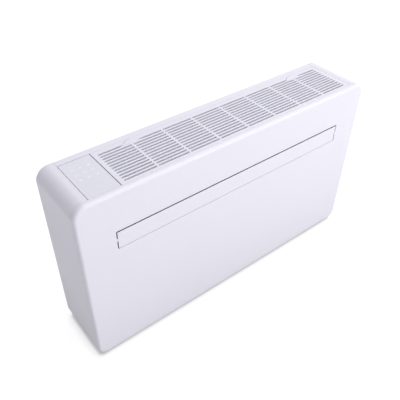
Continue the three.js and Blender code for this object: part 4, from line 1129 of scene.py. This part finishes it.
def woven_net_group():
    """A woven nylon net: threads both ways, with painted shade in the holes between them, which
    stands in for the dark inside. The threads' grey is the net's own, set darker as painted shade
    in the slots.
    """
    given = {"Thread_and_shade": (0.4, 0.4, 0.46, 1), "Painted_hole_shade": (0.05, 0.05, 0.06, 1), "Threads": 250.0}
    group, source = effect_group("woven_net", given)
    crossing = []
    for direction in ("X", "Y"):
        wave = texture(group, "TexWave", source["Threads"])
        wave.bands_direction = direction
        crossing.append(wave.outputs["Fac"])
    weave = maths(group, "MAXIMUM", *crossing)
    # The holes are painted shade, for the dark inside seen through the net; the threads' grey is
    # partly painted shade.
    color = two_tone(group, weave, source["Painted_hole_shade"], source["Thread_and_shade"])
    rough = maths(group, "MULTIPLY_ADD", weave, -0.1, 0.75)
    return give(group, Color=color, Roughness=rough, Height=weave)


NET_SHORT = 5 * MM
NET = surface("nylon_net", woven_net_group(), {"Threads": 250.0}, bump=0.6, relief=0.4 * MM)
net_low, net_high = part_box("filter_net")
bm = bmesh.new()
box_into(bm, net_low, (net_high.x, high.y - NET_SHORT, net_high.z))
piece_from(bm, "woven_net", NET, "filter_cassette", ["filter_net"])


# ---------------------------------------------------------------- floor, lights and camera
# A white studio sweep: a floor that glows white to the camera, though its own colour is darker near
# the cabinet, and round the plinth its glow fades out, so that the real shadow shows there,
# deepened by painted shade; an even white surround, a broad soft light from the front right and a
# weak one overhead. The camera looks down at the left end, as in the photograph.


def seen_directly(tree):
    """One for rays that show a background: from the camera, in gloss and through glass."""
    path = new_node(tree, "LightPath").outputs
    mirrored = maths(tree, "MAXIMUM", path["Is Camera Ray"], path["Is Glossy Ray"])
    return maths(tree, "MAXIMUM", mirrored, path["Is Transmission Ray"])


def vector_maths(tree, operation, *values, result="Vector"):
    inputs = dict(enumerate(values))
    return new_node(tree, "VectorMath", inputs, operation=operation).outputs[result]


def spread(tree, value, given, wanted=(0.0, 1.0), easing="LINEAR"):
    """Maps a value from one span of numbers to another."""
    labels = ("Value", "From Min", "From Max", "To Min", "To Max")
    inputs = dict(zip(labels, (value, *given, *wanted)))
    return new_node(tree, "MapRange", inputs, interpolation_type=easing).outputs["Result"]


FLOOR_HALF = 12.0
FLOOR_DROP = 0.2 * MM
FLOOR_STRETCH = (0.55, 1, 0)
FLOOR_REACH = (0.15, 1.1)
FLOOR_TONES = (0.42, 0.85)
FLOOR_LIGHT = 0.49
# Painted shade round the plinth: within this box, and a short reach outside it, the floor's glow
# fades out, so the floor shows darker there than its real shadow alone.
PAINTED_SHADE_MIDDLE = (0, 0.008, 0)
PAINTED_SHADE_HALF = (0.4955, 0.0825, 0)
PAINTED_SHADE_REACH = (0.004, 0.038)
PAINTED_SHADE_STEPS = ((0.0, 0.2), (0.3, 0.5), (0.45, 0.82), (1.0, 1.0))
bm = bmesh.new()
bmesh.ops.create_grid(bm, x_segments=1, y_segments=1, size=FLOOR_HALF)
bmesh.ops.translate(bm, vec=(0, 0, -FLOOR_DROP), verts=bm.verts)
floor_mesh = bpy.data.meshes.new("studio_floor")
bm.to_mesh(floor_mesh)
bm.free()
floor = add_object("studio_floor", floor_mesh)
paint = bpy.data.materials.new("studio_floor_paint")
paint.use_nodes = True
floor_mesh.materials.append(paint)
tree = paint.node_tree
on_floor = new_node(tree, "TexCoord").outputs["Object"]
away = vector_maths(tree, "MULTIPLY", on_floor, FLOOR_STRETCH)
away = vector_maths(tree, "LENGTH", away, result="Value")
tone = spread(tree, away, FLOOR_REACH, FLOOR_TONES, "SMOOTHSTEP")
lift = maths(tree, "MULTIPLY_ADD", tone, -FLOOR_LIGHT, 1.0)

# Painted shade: how far each point lies outside the box round the plinth sets how much of the
# floor's glow is left there.
outside = vector_maths(tree, "SUBTRACT", on_floor, PAINTED_SHADE_MIDDLE)
outside = vector_maths(tree, "ABSOLUTE", outside)
outside = vector_maths(tree, "SUBTRACT", outside, PAINTED_SHADE_HALF)
outside = vector_maths(tree, "MAXIMUM", outside, (0, 0, 0))
outside = vector_maths(tree, "LENGTH", outside, result="Value")
painted_shade = new_node(tree, "ValToRGB", {"Fac": spread(tree, outside, PAINTED_SHADE_REACH)})
stops = painted_shade.color_ramp.elements
for place, share in PAINTED_SHADE_STEPS[1:-1]:
    stops.new(place)
for stop, (place, share) in zip(stops, PAINTED_SHADE_STEPS):
    stop.color = (share, share, share, 1)
lift = maths(tree, "MULTIPLY", lift, painted_shade.outputs["Color"])
feed(tree, tree.nodes["Principled BSDF"], {
    "Base Color": tone, "Roughness": 0.9, "Specular IOR Level": 0.0,
    "Emission Color": (1, 1, 1, 1),
    "Emission Strength": maths(tree, "MULTIPLY", seen_directly(tree), lift)})

SKY_LIGHT = (0.64, 0.62, 0.655, 1)
SKY_LEAN = (0.6, -0.25, 0.15)

world = bpy.data.worlds.new("studio_surround")
bpy.context.scene.world = world
world.use_nodes = True
sky = world.node_tree
sky.nodes.clear()
light, white = (new_node(sky, "RGB").outputs[0] for _ in range(2))
light.default_value, white.default_value = SKY_LIGHT, (1, 1, 1, 1)
all_round = new_node(sky, "TexCoord").outputs["Generated"]
lean = vector_maths(sky, "DOT_PRODUCT", all_round, SKY_LEAN, result="Value")
light = scaled_color(sky, light, maths(sky, "ADD", lean, 1.0))
shown = two_tone(sky, seen_directly(sky), light, white)
backdrop = new_node(sky, "Background", {"Color": shown})
new_node(sky, "OutputWorld", {"Surface": backdrop.outputs[0]})


def softbox(name, place, aim, size, power):
    """A rectangular area light, in metres and watts, turned to face a point."""
    lamp = bpy.data.lights.new(name, "AREA")
    lamp.shape = "RECTANGLE"
    lamp.size, lamp.size_y = size
    lamp.energy = power
    holder = add_object(name, lamp)
    holder.location = place
    holder.rotation_mode = "QUATERNION"
    holder.rotation_quaternion = (Vector(aim) - Vector(place)).to_track_quat("-Z", "Y")


softbox("key_softbox", place=(1.6, -3.0, 1.3), aim=(0, 0, 0.3), size=(2.0, 2.0), power=38)
softbox("overhead_softbox", place=(0.45, -0.1, 2.1), aim=(0.3, 0, 0.5), size=(1.6, 1.0), power=8)

CAMERA_PLACE = Vector((-811.0, -935.96, 1350.5)) * MM
YAW, PITCH, ROLL = (math.radians(turn) for turn in (38.418, 40.593, 0.812))
LENS, SENSOR = 45.80, 36  # millimetres
level = Vector((math.sin(YAW), math.cos(YAW), 0))
forward = level * math.cos(PITCH) - Vector((0, 0, math.sin(PITCH)))
level_right = Vector((math.cos(YAW), -math.sin(YAW), 0))
level_up = level_right.cross(forward)
right = math.cos(ROLL) * level_right + math.sin(ROLL) * level_up
up = -math.sin(ROLL) * level_right + math.cos(ROLL) * level_up
lens = bpy.data.cameras.new("photo_camera")
lens.sensor_width = SENSOR
lens.lens = LENS
camera = add_object("photo_camera", lens)
facing = Matrix((right, up, -forward)).transposed().to_4x4()
camera.matrix_world = Matrix.Translation(CAMERA_PLACE) @ facing
bpy.context.scene.camera = camera
bpy.context.scene.view_settings.view_transform = "Standard"
